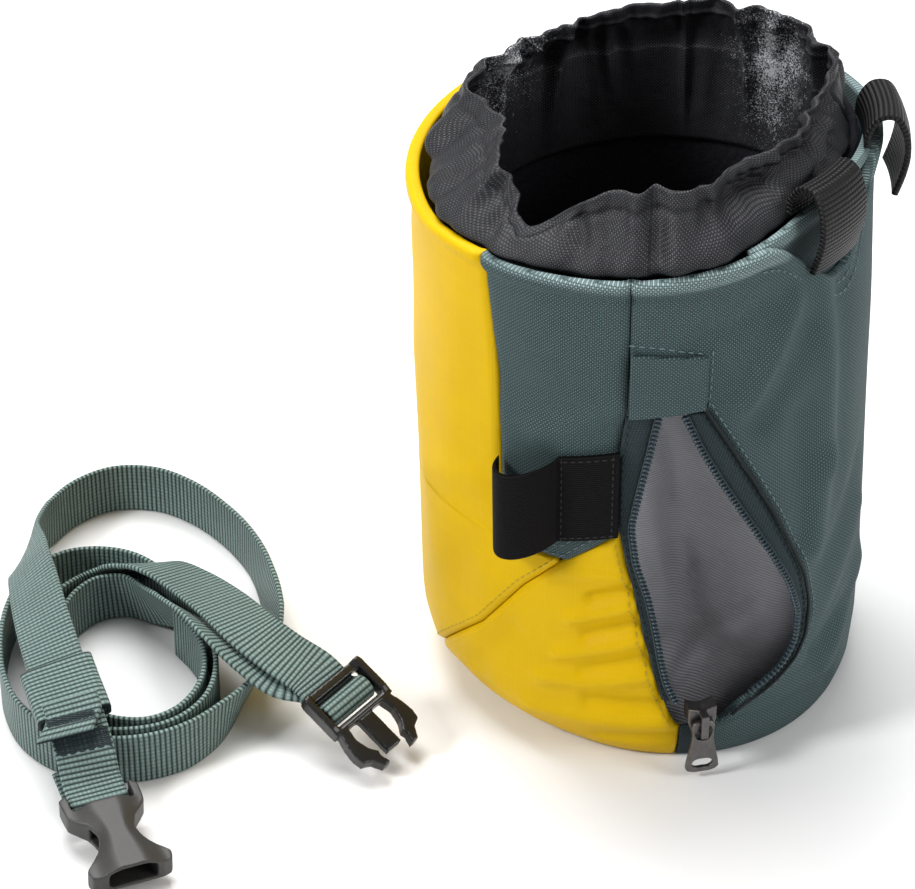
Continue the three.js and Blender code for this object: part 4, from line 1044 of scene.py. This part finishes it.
flap_rows = [
    [(-3.6, 131.6), (2.8, 130.6), (12.6, 127.6)],
    [(15.8, 127), (15.6, 120), (15.4, 112.6)],
]
stitch_rows("flap_stitches", [
    shell_line(*through(row), thread_lift) for row in flap_rows], teal_thread, "teal_fabric")
tongue_rows = [
    [(-36, 67), (-20, 65.6), (-7.4, 76.2)],
    [(-36, 69.6), (-20.6, 68.4), (-7.4, 79)],
]
stitch_rows("tongue_stitches", [
    shell_line(*through(row), thread_lift, brush_crease_rows) for row in tongue_rows],
    teal_thread, "teal_fabric")
gusset_row = [(-76, 3), (-69.4, 12), (-46, 35), (-32.4, 53.6), (-22.5, 63.5)]
stitch_rows("gusset_stitches", [
    shell_line(*through(gusset_row), thread_lift, front_crease_rows)],
    yellow_thread, "yellow_nylon")
scoop_turns = np.linspace(scoop_angle - scoop_turn + 2, scoop_angle + scoop_turn - 2, 90)
scoop_line = 1 - 0.016 - scoop(scoop_turns)
stitch_rows("scoop_stitches", [
    shell_line(scoop_turns, scoop_line - shift, thread_lift) for shift in (0, 0.02)],
    teal_thread, "teal_fabric")

# Zip end tab
# The two ends of the woven tapes, laid over each other under the slider and sewn to the
# lower edge of the bag.
zip_end_tab = cloth_panel(
    "zip_end_tab", tape_finish, end_tab_left, end_tab_right, wall=inner_wall, inset=tape_sink,
    low=end_tab_low, high=slider_share - (slider_length / 2 + seam_gap) / rim_height,
    seams=0, step=0.8)
settle(zip_end_tab, "zip_tape", "zip_end_tab")


# Slider and pull
# Die cast zinc with a dark plating. The pull is a tapered plate that hangs from the
# slider's bridge and swings out from the bag.
def dark_plating():
    finish = Finish("gunmetal")
    patina = finish.noise(500, 3)
    colour = finish.blend(patina, (0.10, 0.095, 0.095), (0.19, 0.18, 0.178))
    return finish.surface(Base_Color=colour, Metallic=0.95, Roughness=0.26 + patina * 0.2,
                          Normal=finish.bumps(finish.noise(900, 2), 0.05, 0.4))


def moulded_copy(node, finish, grain, passes):
    """A moulded piece with soft edges, made from its plain solid."""
    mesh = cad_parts[node].data.copy()
    mesh.materials.clear()
    mesh.materials.append(finish)
    piece = into_scene(node + "_shaped", mesh)
    weld = piece.modifiers.new("weld", "WELD")
    weld.merge_threshold = 0.01 * mm
    fine = piece.modifiers.new("fine", "REMESH")
    fine.mode = "VOXEL"
    fine.voxel_size = grain * mm
    soft = piece.modifiers.new("soft", "SMOOTH")
    soft.factor = 0.5
    soft.iterations = passes
    shaped = finished_mesh(piece)
    piece.modifiers.clear()
    piece.data = shaped
    shaped.shade_smooth()
    return piece


plating = dark_plating()
slider = moulded_copy("zip_slider", plating, grain=0.16, passes=12)
settle(slider, "gunmetal", "zip_slider")
slider_angle = 16.5
pull_hinge = (17.3337, -58.5177, 17.2)
pull_wall = 1.2
pull_bevel = 0.22
pull_outline = [
    (-2.1, 0.75), (-2.75, 0.2), (-2.8, -2.5), (-2.85, -5), (-3.4, -8.5), (-4.25, -13),
    (-4.2, -14.2), (-3.1, -15), (0, -15.3), (3.1, -15), (4.2, -14.2), (4.25, -13), (3.4, -8.5),
    (2.85, -5), (2.8, -2.5), (2.75, 0.2), (2.1, 0.75), (0, 0.85),
]
pull_window = [(-1.7, -0.8), (-1.7, -4.4), (-0.9, -5), (0.9, -5), (1.7, -4.4), (1.7, -0.8)]
pull_hole = [(-2.7, -12.7), (-2.2, -11.6), (0, -11.1), (2.2, -11.6), (2.7, -12.7),
             (2.2, -13.6), (0, -13.9), (-2.2, -13.6)]
drawing = bpy.data.curves.new("zip_pull_drawing", "CURVE")
drawing.dimensions = "2D"
drawing.fill_mode = "BOTH"
drawing.extrude = (pull_wall / 2 - pull_bevel) * mm
drawing.bevel_depth = pull_bevel * mm
drawing.bevel_resolution = 2
drawing.offset = -pull_bevel * mm
for outline in (pull_outline, pull_window, pull_hole):
    spline = drawing.splines.new("BEZIER")
    spline.bezier_points.add(len(outline) - 1)
    spline.use_cyclic_u = True
    for knot, (x, y) in zip(spline.bezier_points, outline):
        knot.co = (x * mm, y * mm, 0)
        knot.handle_left_type = knot.handle_right_type = "AUTO"
sketch = into_scene("zip_pull_drawing", drawing)
bpy.context.view_layer.update()
pull_mesh = finished_mesh(sketch)
bpy.data.objects.remove(sketch)
facing = math.radians(slider_angle)
flat = np.array([vertex.co for vertex in pull_mesh.vertices])
sideways = np.array([math.cos(facing), math.sin(facing), 0])
outward = np.array([math.sin(facing), -math.cos(facing), 0])
placed = (np.array(pull_hinge) * mm + flat[:, :1] * sideways
          + flat[:, 1:2] * np.array([0, 0, 1]) + flat[:, 2:] * outward)
pull_mesh.vertices.foreach_set("co", placed.astype(np.float32).ravel())
pull_mesh.materials.clear()
pull_mesh.materials.append(plating)
pull_mesh.shade_smooth()
pull_mesh.set_sharp_from_angle(angle=math.radians(45))
settle(into_scene("zip_pull_shaped", pull_mesh), "gunmetal", "zip_pull", body="pull")


# Brush loop
# A wide black elastic band. Its right half is sewn flat beside the zip and its left half
# stands out as an open loop.
brush_loop_width = 26
brush_loop_run = 48
brush_loop_wall = 1.6
brush_loop_bulge = 9
brush_loop_rows = [
    dict(across=0, angle=-36.8, low=0.4415),
    dict(across=0.5, angle=-20.6, low=0.4749),
    dict(across=1, angle=-5.6, low=0.4983),
]


def black_elastic():
    finish = Finish("black_elastic")
    x, y = finish.weave_place()
    ribs = abs((y * (math.pi / 0.62)).sine())
    pins = abs((x * (math.pi / 0.8)).sine())
    yarn = finish.noise(2400, 2)
    threads = ribs * (0.65 + pins * 0.2) * (0.5 + yarn)
    colour = finish.blend(threads.at_most(1), (0.001, 0.001, 0.001), (0.012, 0.011, 0.012))
    return finish.surface(Base_Color=colour, Roughness=0.7, Specular_IOR_Level=0.05,
                          Normal=finish.bumps(ribs, 0.14, 0.8))


loop_across = stations(brush_loop_run, 0.7)[:, None]
loop_up = stations(brush_loop_width, 1.0)[None, :]
loop_angle = read_table(brush_loop_rows, "across", "angle", loop_across)
loop_low = read_table(brush_loop_rows, "across", "low", loop_across)
loop_arch = np.sin(np.pi * np.minimum(loop_across * 2, 1)) ** 0.7
loop_share = loop_low + loop_up * brush_loop_width / rim_height
loop_edge = np.minimum(np.minimum(loop_up, 1 - loop_up) * brush_loop_width,
                       np.minimum(loop_across, 1 - loop_across) * brush_loop_run)
loop_lift = seam_gap + brush_loop_bulge * loop_arch + brush_loop_wall / 2
loop_half = half_wall(loop_edge, brush_loop_wall)
brush_loop = soft_wall(
    "brush_loop", on_shell(loop_angle, loop_share, -loop_lift - loop_half),
    on_shell(loop_angle, loop_share, -loop_lift + loop_half),
    laid_flat(loop_across * brush_loop_run, loop_up * brush_loop_width), black_elastic())
settle(brush_loop, "black_webbing", "brush_loop")
tack_rows = []
tack_margin = 1
tack_side_margin = 1.2
for place in (0.475, 0.535, 0.95):
    spot = float(read_table(brush_loop_rows, "across", "angle", place))
    low = float(read_table(brush_loop_rows, "across", "low", place)) * rim_height
    high = low + brush_loop_width - tack_margin
    tack_rows.append([(spot, low + tack_margin), (spot, high)])
for shift in (tack_side_margin, brush_loop_width - tack_side_margin):
    tack_rows.append([(-18.6, 0.4785 * rim_height + shift), (-7.2, 0.4955 * rim_height + shift)])
stitch_rows("brush_loop_stitches", [
    shell_line(*through(row), seam_gap + brush_loop_wall) for row in tack_rows],
    black_thread, "black_webbing", pitch=1.9, length=1.5)

# Belt loops
# Two loops of black ribbed webbing that the belt runs through. Their upper ends are caught
# under the rim, and the lower ends are sewn into the scooped edge.
belt_loop_width = 18
belt_loop_wall = 1.7
belt_loop_reach = 10
belt_loop_rise = 9
belt_loop_drop = 13
belt_loop_rows = table("out up", [
    (0, 0), (0.04, 0.5), (0.3, 0.95), (0.66, 0.95), (0.93, 0.42), (1, -0.15), (0.93, -0.55),
    (0.76, -1),
])
belt_loop_angles = dict(belt_loop_front=55, belt_loop_rear=96)


def ribbed_webbing(name, dark, light, pitch, grid, shine):
    """Webbing with ribs across its length. x runs along it and y across it."""
    finish = Finish(name)
    x, y = finish.weave_place()
    ribs = abs((x * (math.pi / pitch)).sine())
    rows = abs((y * (math.pi / 1.15)).sine())
    yarn = finish.noise(2200, 2)
    cloud = finish.noise(80, 2)
    threads = (ribs ** 1.2) * (1 - grid + rows * grid) * (0.5 + yarn * 0.9)
    low = finish.blend(cloud, dark, tuple(1.5 * part for part in dark))
    high = finish.blend(cloud, light, tuple(1.25 * part for part in light))
    colour = finish.blend(threads.at_most(1), low, high)
    normal = finish.bumps(ribs * (0.6 + rows * 0.4), 0.4, 0.9)
    return finish.surface(Base_Color=colour, Roughness=0.45, Normal=normal,
                          Specular_IOR_Level=shine)


def smooth_path(points, at):
    """Places on a smooth line through points, at counts of points from its start."""
    points = np.asarray(points, float)
    first = 2 * points[0] - points[1]
    last = 2 * points[-1] - points[-2]
    padded = np.vstack([first, points, last])
    index = np.minimum(np.floor(at).astype(int), len(points) - 2)
    t = (at - index)[:, None]
    p0, p1, p2, p3 = (padded[index + k] for k in range(4))

    def spacing(a, b):
        return np.maximum(np.linalg.norm(b - a, axis=1), 1e-8)[:, None] ** 0.5

    d0, d1, d2 = spacing(p0, p1), spacing(p1, p2), spacing(p2, p3)
    t1 = ((p1 - p0) / d0 - (p2 - p0) / (d0 + d1) + (p2 - p1) / d1) * d1
    t2 = ((p2 - p1) / d1 - (p3 - p1) / (d1 + d2) + (p3 - p2) / d2) * d1
    cubic = 2 * p1 - 2 * p2 + t1 + t2
    square = -3 * p1 + 3 * p2 - 2 * t1 - t2
    return p1 + t1 * t + square * t ** 2 + cubic * t ** 3


def unit(vectors):
    return vectors / np.linalg.norm(vectors, axis=-1, keepdims=True)


def path_length(points):
    steps = np.linalg.norm(np.diff(points, axis=0), axis=1)
    return np.concatenate([[0], np.cumsum(steps)])


loop_webbing = ribbed_webbing(
    "black_webbing", (0.001, 0.001, 0.001), (0.013, 0.0125, 0.0135), pitch=1.2, grid=0.9,
    shine=0.2)
for name, angle in belt_loop_angles.items():
    rim = float(height_of_rim(angle))
    seat = float(shell_radius(angle, 1)) - yoke_inset - inner_wall / 2
    spots = []
    for row in belt_loop_rows:
        climb = row["up"] * (belt_loop_rise if row["up"] > 0 else belt_loop_drop)
        spots.append([seat + row["out"] * belt_loop_reach, rim + climb])
    spots[0][1] += layer_gap
    count = np.linspace(0, len(spots) - 1, 90)
    line = smooth_path(spots, count)
    heading = unit(np.gradient(line, axis=0))
    turn = stations(belt_loop_width, 0.9) - 0.5
    edge = np.minimum(0.5 - np.abs(turn[None, :]), 0.5) * belt_loop_width
    half = half_wall(edge, belt_loop_wall)

    def loop_face(side):
        radius = line[:, 0, None] - side * heading[:, 1, None] * half
        level = line[:, 1, None] + side * heading[:, 0, None] * half
        return around(angle + np.degrees(turn[None, :] * belt_loop_width / radius), radius, level)

    pattern = laid_flat(path_length(line)[:, None], turn[None, :] * belt_loop_width)
    piece = soft_wall(name, loop_face(1), loop_face(-1), pattern, loop_webbing)
    settle(piece, "black_webbing", name)

# Belt webbing
# One length of grey green ribbed webbing, folded round a bar of each buckle half and lying
# on its edge in a loose coil. Rows are stations of its middle line: x, y and z are shares
# of the belt's reach, and lean is how far its upper edge tips to the left of its run. Where
# a row has only x and y, the belt stands upright on the floor.
belt_width = 15
belt_wall = 1.4
belt_reach = 100
on_edge = (belt_width / 2 + 0.1) / belt_reach
bar_width = 2.4
slot_width = 3.2
socket_bar = 2.2
plug_bar = 1.8
outward_run = [
    (-1.37, -0.765, 0.15, -88), (-1.405, -0.685, 0.195, -86), (-1.45, -0.58, 0.21, -82),
    (-1.495, -0.46, 0.218, -74), (-1.54, -0.33, 0.22, -66), (-1.585, -0.18, 0.21, -58),
    (-1.625, -0.03, 0.182, -44), (-1.645, 0.12, 0.115, -14), (-1.62, 0.26, 0.081, 0),
    (-1.56, 0.375), (-1.465, 0.445), (-1.35, 0.45), (-1.24, 0.395), (-1.14, 0.3),
    (-1.055, 0.18, on_edge, 3), (-0.995, 0.03, on_edge, 10), (-0.97, -0.12, 0.073, 25),
    (-0.975, -0.27, 0.069, 33), (-1.005, -0.42, 0.074, 22), (-1.06, -0.545, on_edge, 6),
    (-1.14, -0.64), (-1.24, -0.69), (-1.36, -0.7), (-1.47, -0.665), (-1.565, -0.58),
    (-1.625, -0.46), (-1.655, -0.32), (-1.66, -0.19), (-1.64, -0.075), (-1.595, 0.01),
    (-1.53, 0.063), (-1.45, 0.08), (-1.365, 0.065), (-1.285, 0.01), (-1.215, -0.08),
    (-1.145, -0.19), (-1.098, -0.31), (-1.082, -0.43), (-1.1, -0.53), (-1.155, -0.61),
    (-1.24, -0.656), (-1.36, -0.662), (-1.465, -0.605), (-1.53, -0.49), (-1.558, -0.36),
    (-1.56, -0.23), (-1.535, -0.11), (-1.48, -0.03, 0.08, -8), (-1.415, 0.008, 0.11, -28),
    (-1.34, -0.005, 0.155, -52), (-1.265, -0.05, 0.19, -70), (-1.17, -0.13, 0.2, -80),
    (-1.075, -0.235, 0.213, -86), (-0.99, -0.335, 0.213, -92), (-0.905, -0.395, 0.19, -96),
]
return_run = [
    (-0.905, -0.435, 0.15, 94), (-0.99, -0.39, 0.173, 80), (-1.07, -0.325, 0.18, 60),
    (-1.15, -0.235, 0.168, 46), (-1.23, -0.15, 0.128, 28), (-1.3, -0.08, 0.09, 14),
    (-1.37, -0.036, 0.08, 5), (-1.44, -0.05), (-1.49, -0.115), (-1.515, -0.23), (-1.512, -0.35),
    (-1.485, -0.47), (-1.425, -0.56), (-1.335, -0.615), (-1.24, -0.622), (-1.17, -0.58),
    (-1.127, -0.505), (-1.112, -0.415), (-1.125, -0.325), (-1.165, -0.245), (-1.215, -0.18),
]
bar_clear = belt_wall / 2 + 0.35
first_slot = bar_width
second_slot = 2 * bar_width + slot_width
socket_wrap = [
    (-13, 1.7 - belt_wall - 0.75), (-5, -bar_clear), (0, -bar_clear - 0.1),
    (bar_width + 0.5, -0.8), (bar_width + 1.3, socket_bar * 0.5),
    (bar_width + 0.5, socket_bar + 0.8), (0, socket_bar + bar_clear + 0.1),
    (-4, socket_bar + bar_clear + 0.9),
]
plug_wrap = [
    (-5, -1.6), (-0.5, -1.25), (first_slot + 0.6, -1), (first_slot + 1.6, 0.6),
    (first_slot + slot_width - 0.6, plug_bar + 0.8),
    (second_slot - bar_width * 0.5, plug_bar + 1.5), (second_slot + 0.9, plug_bar + 0.6),
    (second_slot + 1.5, 0.6), (second_slot + 0.6, -1.1),
    (second_slot - bar_width * 0.7, -2.4), (bar_width * 0.6, -3.5), (-3, -3.6),
]


def buckle_frame(place, heading, roll):
    """The middle, length, width and thickness directions of a buckle half."""
    along = unit(np.array(heading, float))
    flat = unit(np.cross([0, 0, 1], along))
    turn = math.radians(roll)
    across = flat * math.cos(turn) + np.cross(along, flat) * math.sin(turn)
    return np.array(place) * belt_reach, along, across, np.cross(along, across)


socket_frame = buckle_frame((-1.335, -0.845, 0.057), (0.43, -0.89, -0.1), 0)
plug_frame = buckle_frame((-0.79, -0.465, 0.155), (0.72, -0.5, -0.46), 9)


def wrap_stations(place, side, rows):
    """Middles and width directions of the webbing where it folds round a bar."""
    middle, along, across, off = place
    return [(middle + x * along + z * off, side * across) for x, z in rows]


def floor_stations(rows):
    """Middles and width directions of the webbing where it lies on the floor."""
    rows = np.array([row if len(row) > 2 else (*row, on_edge, 0) for row in rows])
    middles = rows[:, :3] * belt_reach
    before = middles[np.maximum(np.arange(len(rows)) - 1, 0)]
    after = middles[np.minimum(np.arange(len(rows)) + 1, len(rows) - 1)]
    run = unit((after - before) * [1, 1, 0])
    left = np.cross([0, 0, 1], run)
    lean = np.radians(rows[:, 3:])
    width = np.array([0, 0, 1]) * np.cos(lean) + left * np.sin(lean)
    return list(zip(middles, width))


belt_stations = (wrap_stations(socket_frame, 1, socket_wrap) + floor_stations(outward_run)
                 + wrap_stations(plug_frame, -1, plug_wrap) + floor_stations(return_run))
station_middles = np.array([middle for middle, width in belt_stations])
station_widths = np.array([width for middle, width in belt_stations])


def belt_strip(counts):
    """Middles, width, thickness and running directions at counts of stations."""
    middle = smooth_path(station_middles, counts)
    near = 0.004
    last = len(station_middles) - 1
    run = unit(smooth_path(station_middles, np.minimum(counts + near, last))
               - smooth_path(station_middles, np.maximum(counts - near, 0)))
    index = np.minimum(np.floor(counts).astype(int), last - 1)
    share = (counts - index)[:, None]
    width = station_widths[index] * (1 - share) + station_widths[index + 1] * share
    width = unit(width - run * np.sum(width * run, axis=1, keepdims=True))
    return middle, width, np.cross(run, width), run


belt_webbing_finish = ribbed_webbing(
    "teal_webbing", (0.010, 0.017, 0.017), (0.182, 0.254, 0.236), pitch=1.35, grid=0.35,
    shine=0.12)
belt_counts = np.linspace(0, len(belt_stations) - 1, (len(belt_stations) - 1) * 12 + 1)
belt_middle, belt_up, belt_out = belt_strip(belt_counts)[:3]
belt_across = np.array([-0.5, -0.497, -0.485, -0.465, -0.44, -0.4, -0.2, 0,
                        0.2, 0.4, 0.44, 0.465, 0.485, 0.497, 0.5])
belt_edge = (0.5 - np.abs(belt_across)) * belt_width
belt_half = half_wall(belt_edge, belt_wall)[None, :, None]
belt_lines = belt_middle[:, None, :] + belt_up[:, None, :] * belt_across[None, :, None] * belt_width
belt = soft_wall(
    "belt_webbing", belt_lines + belt_out[:, None, :] * belt_half,
    belt_lines - belt_out[:, None, :] * belt_half,
    laid_flat(path_length(belt_middle)[:, None], belt_across[None, :] * belt_width),
    belt_webbing_finish)
settle(belt, "teal_webbing", "belt_webbing")

# Belt keeper
# A short sleeve of the same webbing, sewn into a ring. It sits round the belt a little past
# the socket half and holds the folded end.
keeper_wall = 1.3
keeper_room = 0.75
keeper_start = len(socket_wrap) + 1
keeper_counts = np.linspace(keeper_start, keeper_start + 1.5, 24)
keeper_middle, keeper_up, keeper_out = belt_strip(keeper_counts)[:3]
keeper_turn = np.radians(np.arange(0, 360, 6.0))
keeper_square = 0.35
keeper_wide, keeper_deep = (
    np.sign(part) * np.abs(part) ** keeper_square
    for part in (np.sin(keeper_turn), np.cos(keeper_turn)))


def keeper_face(room):
    wide = keeper_wide * (belt_width / 2 + room)
    deep = keeper_deep * (belt_wall / 2 + room)
    return (keeper_middle[None] + keeper_up[None] * wide[:, None, None]
            + keeper_out[None] * deep[:, None, None])


keeper_half = (8.3, 1.5)
keeper_around = path_length(
    np.stack([keeper_wide * keeper_half[0], keeper_deep * keeper_half[1]], axis=-1))
keeper = soft_wall(
    "belt_keeper", keeper_face(keeper_room + keeper_wall), keeper_face(keeper_room),
    laid_flat(path_length(keeper_middle)[None, :], keeper_around[:, None]),
    belt_webbing_finish, closed=True)
settle(keeper, "teal_webbing", "belt_keeper")


# Belt end tab
# The cut end of the webbing is folded over on itself, sewn down and left standing out
# of the keeper on the buckle's side.
tab_counts = np.linspace(keeper_start - 0.62, keeper_start + 0.35, 46)
tab_middle, tab_up, tab_out = belt_strip(tab_counts)[:3]
tab_wall = 2.6
tab_lift = 2.05
tab_rise = 2.2
tab_swing = 4.6
tab_narrower = 0.97
tab_place = path_length(tab_middle)
tab_held = tab_place[-1] - 3.5
tab_free = np.clip((tab_held - tab_place) / tab_held, 0, 1)
tab_sag = (tab_lift + tab_rise * tab_free ** 1.6)[:, None]
tab_skew = (tab_swing * tab_free ** 1.3)[:, None]
tab_half = half_wall((0.5 - np.abs(belt_across)) * belt_width, tab_wall)[None, :]
tab_half = tab_half * np.sqrt(np.clip(tab_place / 1.3, 0.1, 1))[:, None]
tab_side = np.sign(tab_out[0][2])
tab_line = (tab_middle[:, None, :] + (tab_out * tab_side * tab_sag - tab_up * tab_skew)[:, None, :]
            + tab_up[:, None, :] * belt_across[None, :, None] * belt_width * tab_narrower)
tab = soft_wall(
    "belt_end_tab", tab_line + tab_out[:, None, :] * tab_half[..., None],
    tab_line - tab_out[:, None, :] * tab_half[..., None],
    laid_flat(tab_place[:, None], belt_across[None, :] * belt_width), belt_webbing_finish)
settle(tab, "teal_webbing")


def tack_lines(counts, lift, aside, half_width, points=12):
    """Short rows of thread across the belt."""
    lines = []
    for count in counts:
        middle, up, out, run = (rows[0] for rows in belt_strip(np.array([count])))
        side = np.sign(out[2])
        across = np.linspace(-half_width, half_width, points)[:, None]
        zigzag = 0.35 * (-1) ** np.arange(points)[:, None]
        places = middle + out * side * lift + up * (across - aside) + run * zigzag
        lines.append((places, np.repeat(out[None] * side, points, axis=0)))
    return lines


tack_thread = plain_thread("tack_thread", (0.020, 0.034, 0.040))
stitch_rows("belt_tack", tack_lines(
    np.linspace(keeper_start - 0.95, keeper_start - 0.45, 11), belt_wall / 2, 0, 6.6),
    tack_thread, "teal_webbing", pitch=0.8, length=1.3)
stitch_rows("tab_tack", tack_lines(
    np.linspace(keeper_start - 0.42, keeper_start - 0.12, 7), 2.75 + tab_wall / 2, 1.6, 5.8),
    tack_thread, "teal_webbing", pitch=0.8, length=1.3)


# Buckle
# Two halves of a side release buckle in moulded plastic: a grey socket with a mouth and
# side windows, and a darker plug with a guide and two springy arms. They lie open.
def moulded_plastic(name, dark, light, rough, grit):
    finish = Finish(name)
    grain = finish.noise(2600, 2)
    cloud = finish.noise(120, 2)
    colour = finish.blend(((grain - 0.35) * 1.6 + cloud * 0.3).at_least(0).at_most(1), dark, light)
    return finish.surface(Base_Color=colour, Roughness=rough + grain * 0.12,
                          Normal=finish.bumps(grain, grit, 0.5))


def reshape(piece, place, change):
    """Moves the points of a moulded piece, seen in its own three directions."""
    middle, along, across, off = place
    local = (np.array([vertex.co for vertex in piece.data.vertices]) / mm - middle)
    local = change(*(local @ np.stack([along, across, off], axis=1)).T)
    points = middle + np.stack(local, axis=1) @ np.stack([along, across, off])
    piece.data.vertices.foreach_set("co", (points * mm).astype(np.float32).ravel())


arm_root = 10.5


def narrow_waist(x, y, z):
    """The socket is narrow in its middle, longer at its mouth and bevelled at its sides."""
    waist = x.min() + 0.56 * (x.max() - x.min())
    bevel = eased((np.abs(y) - 2.5) / 7)
    longer = 1 + 0.1 * np.clip((x - 2) / 6, 0, 1)
    return x * longer, y * (1 - 0.3 * bump(x - waist, 3.8)), z * (1 - 0.3 * bevel)


def shorter_arms(x, y, z):
    """The plug's arms and side rails are thicker than the plain solid's, and end sooner."""
    arms = np.clip((x - arm_root) / 2, 0, 1)
    rails = np.clip((np.abs(y) - 7.5) / 1, 0, 1) * (1 - arms)
    ends = np.clip((1.5 - x) / 3, 0, 1)
    x = np.minimum(x, arm_root) + 0.82 * np.maximum(x - arm_root, 0)
    return x, y * (1 - 0.06 * ends), z * (1 + 0.5 * rails + 0.35 * arms)


grey_plastic = moulded_plastic(
    "grey_plastic", (0.012, 0.0115, 0.011), (0.036, 0.034, 0.032), rough=0.42, grit=0.05)
dark_plastic = moulded_plastic(
    "dark_plastic", (0.003, 0.0027, 0.0025), (0.008, 0.007, 0.0062), rough=0.24, grit=0.002)
socket = moulded_copy("buckle_female", grey_plastic, grain=0.34, passes=9)
reshape(socket, socket_frame, narrow_waist)
settle(socket, "grey_plastic", "buckle_female")
plug = moulded_copy("buckle_male", dark_plastic, grain=0.28, passes=9)
reshape(plug, plug_frame, shorter_arms)
settle(plug, "dark_plastic", "buckle_male")


# Studio
# A plain pale floor under soft light from above, and the camera at the height and turn of
# the picture.
floor_grey = (0.8, 0.8, 0.8, 1)
bpy.ops.mesh.primitive_plane_add(size=8, location=(0, 0, -0.0002))
floor = bpy.context.object
floor.name = "studio_floor"
floor.data.materials.append(Finish("studio_floor").surface(Base_Color=floor_grey, Roughness=0.9))

world = bpy.data.worlds.new("studio")
world.use_nodes = True
sky = world.node_tree.nodes["Background"]
sky.inputs["Color"].default_value = (1, 1, 1, 1)
sky.inputs["Strength"].default_value = 0.36
bpy.context.scene.world = world
lamp_aim_height = 0.08
lamp_rows = [
    dict(name="top", place=(-0.25, 0.45, 1.25), size=0.9, power=23),
    dict(name="left", place=(-1.1, -0.55, 0.95), size=0.35, power=14),
    dict(name="right", place=(1.05, -0.45, 0.75), size=0.5, power=7),
]
for row in lamp_rows:
    lamp = bpy.data.lights.new(row["name"], "AREA")
    lamp.size = row["size"]
    lamp.energy = row["power"]
    holder = into_scene(row["name"], lamp)
    holder.location = row["place"]
    aim = -np.array(row["place"]) + [0, 0, lamp_aim_height]
    level = math.hypot(aim[0], aim[1])
    holder.rotation_euler = (math.atan2(level, -aim[2]), 0, math.atan2(-aim[0], aim[1]))

camera_data = bpy.data.cameras.new("camera")
camera_data.sensor_width = 36
camera_data.lens = 149.1
camera_down = 35.7223
camera_turn = 3.4764
camera = into_scene("camera", camera_data)
camera.location = (0, -0.7946, 0.6314)
camera.rotation_euler = (math.radians(90 - camera_down), 0, math.radians(camera_turn))
bpy.context.scene.camera = camera
bpy.context.scene.view_settings.view_transform = "Standard"
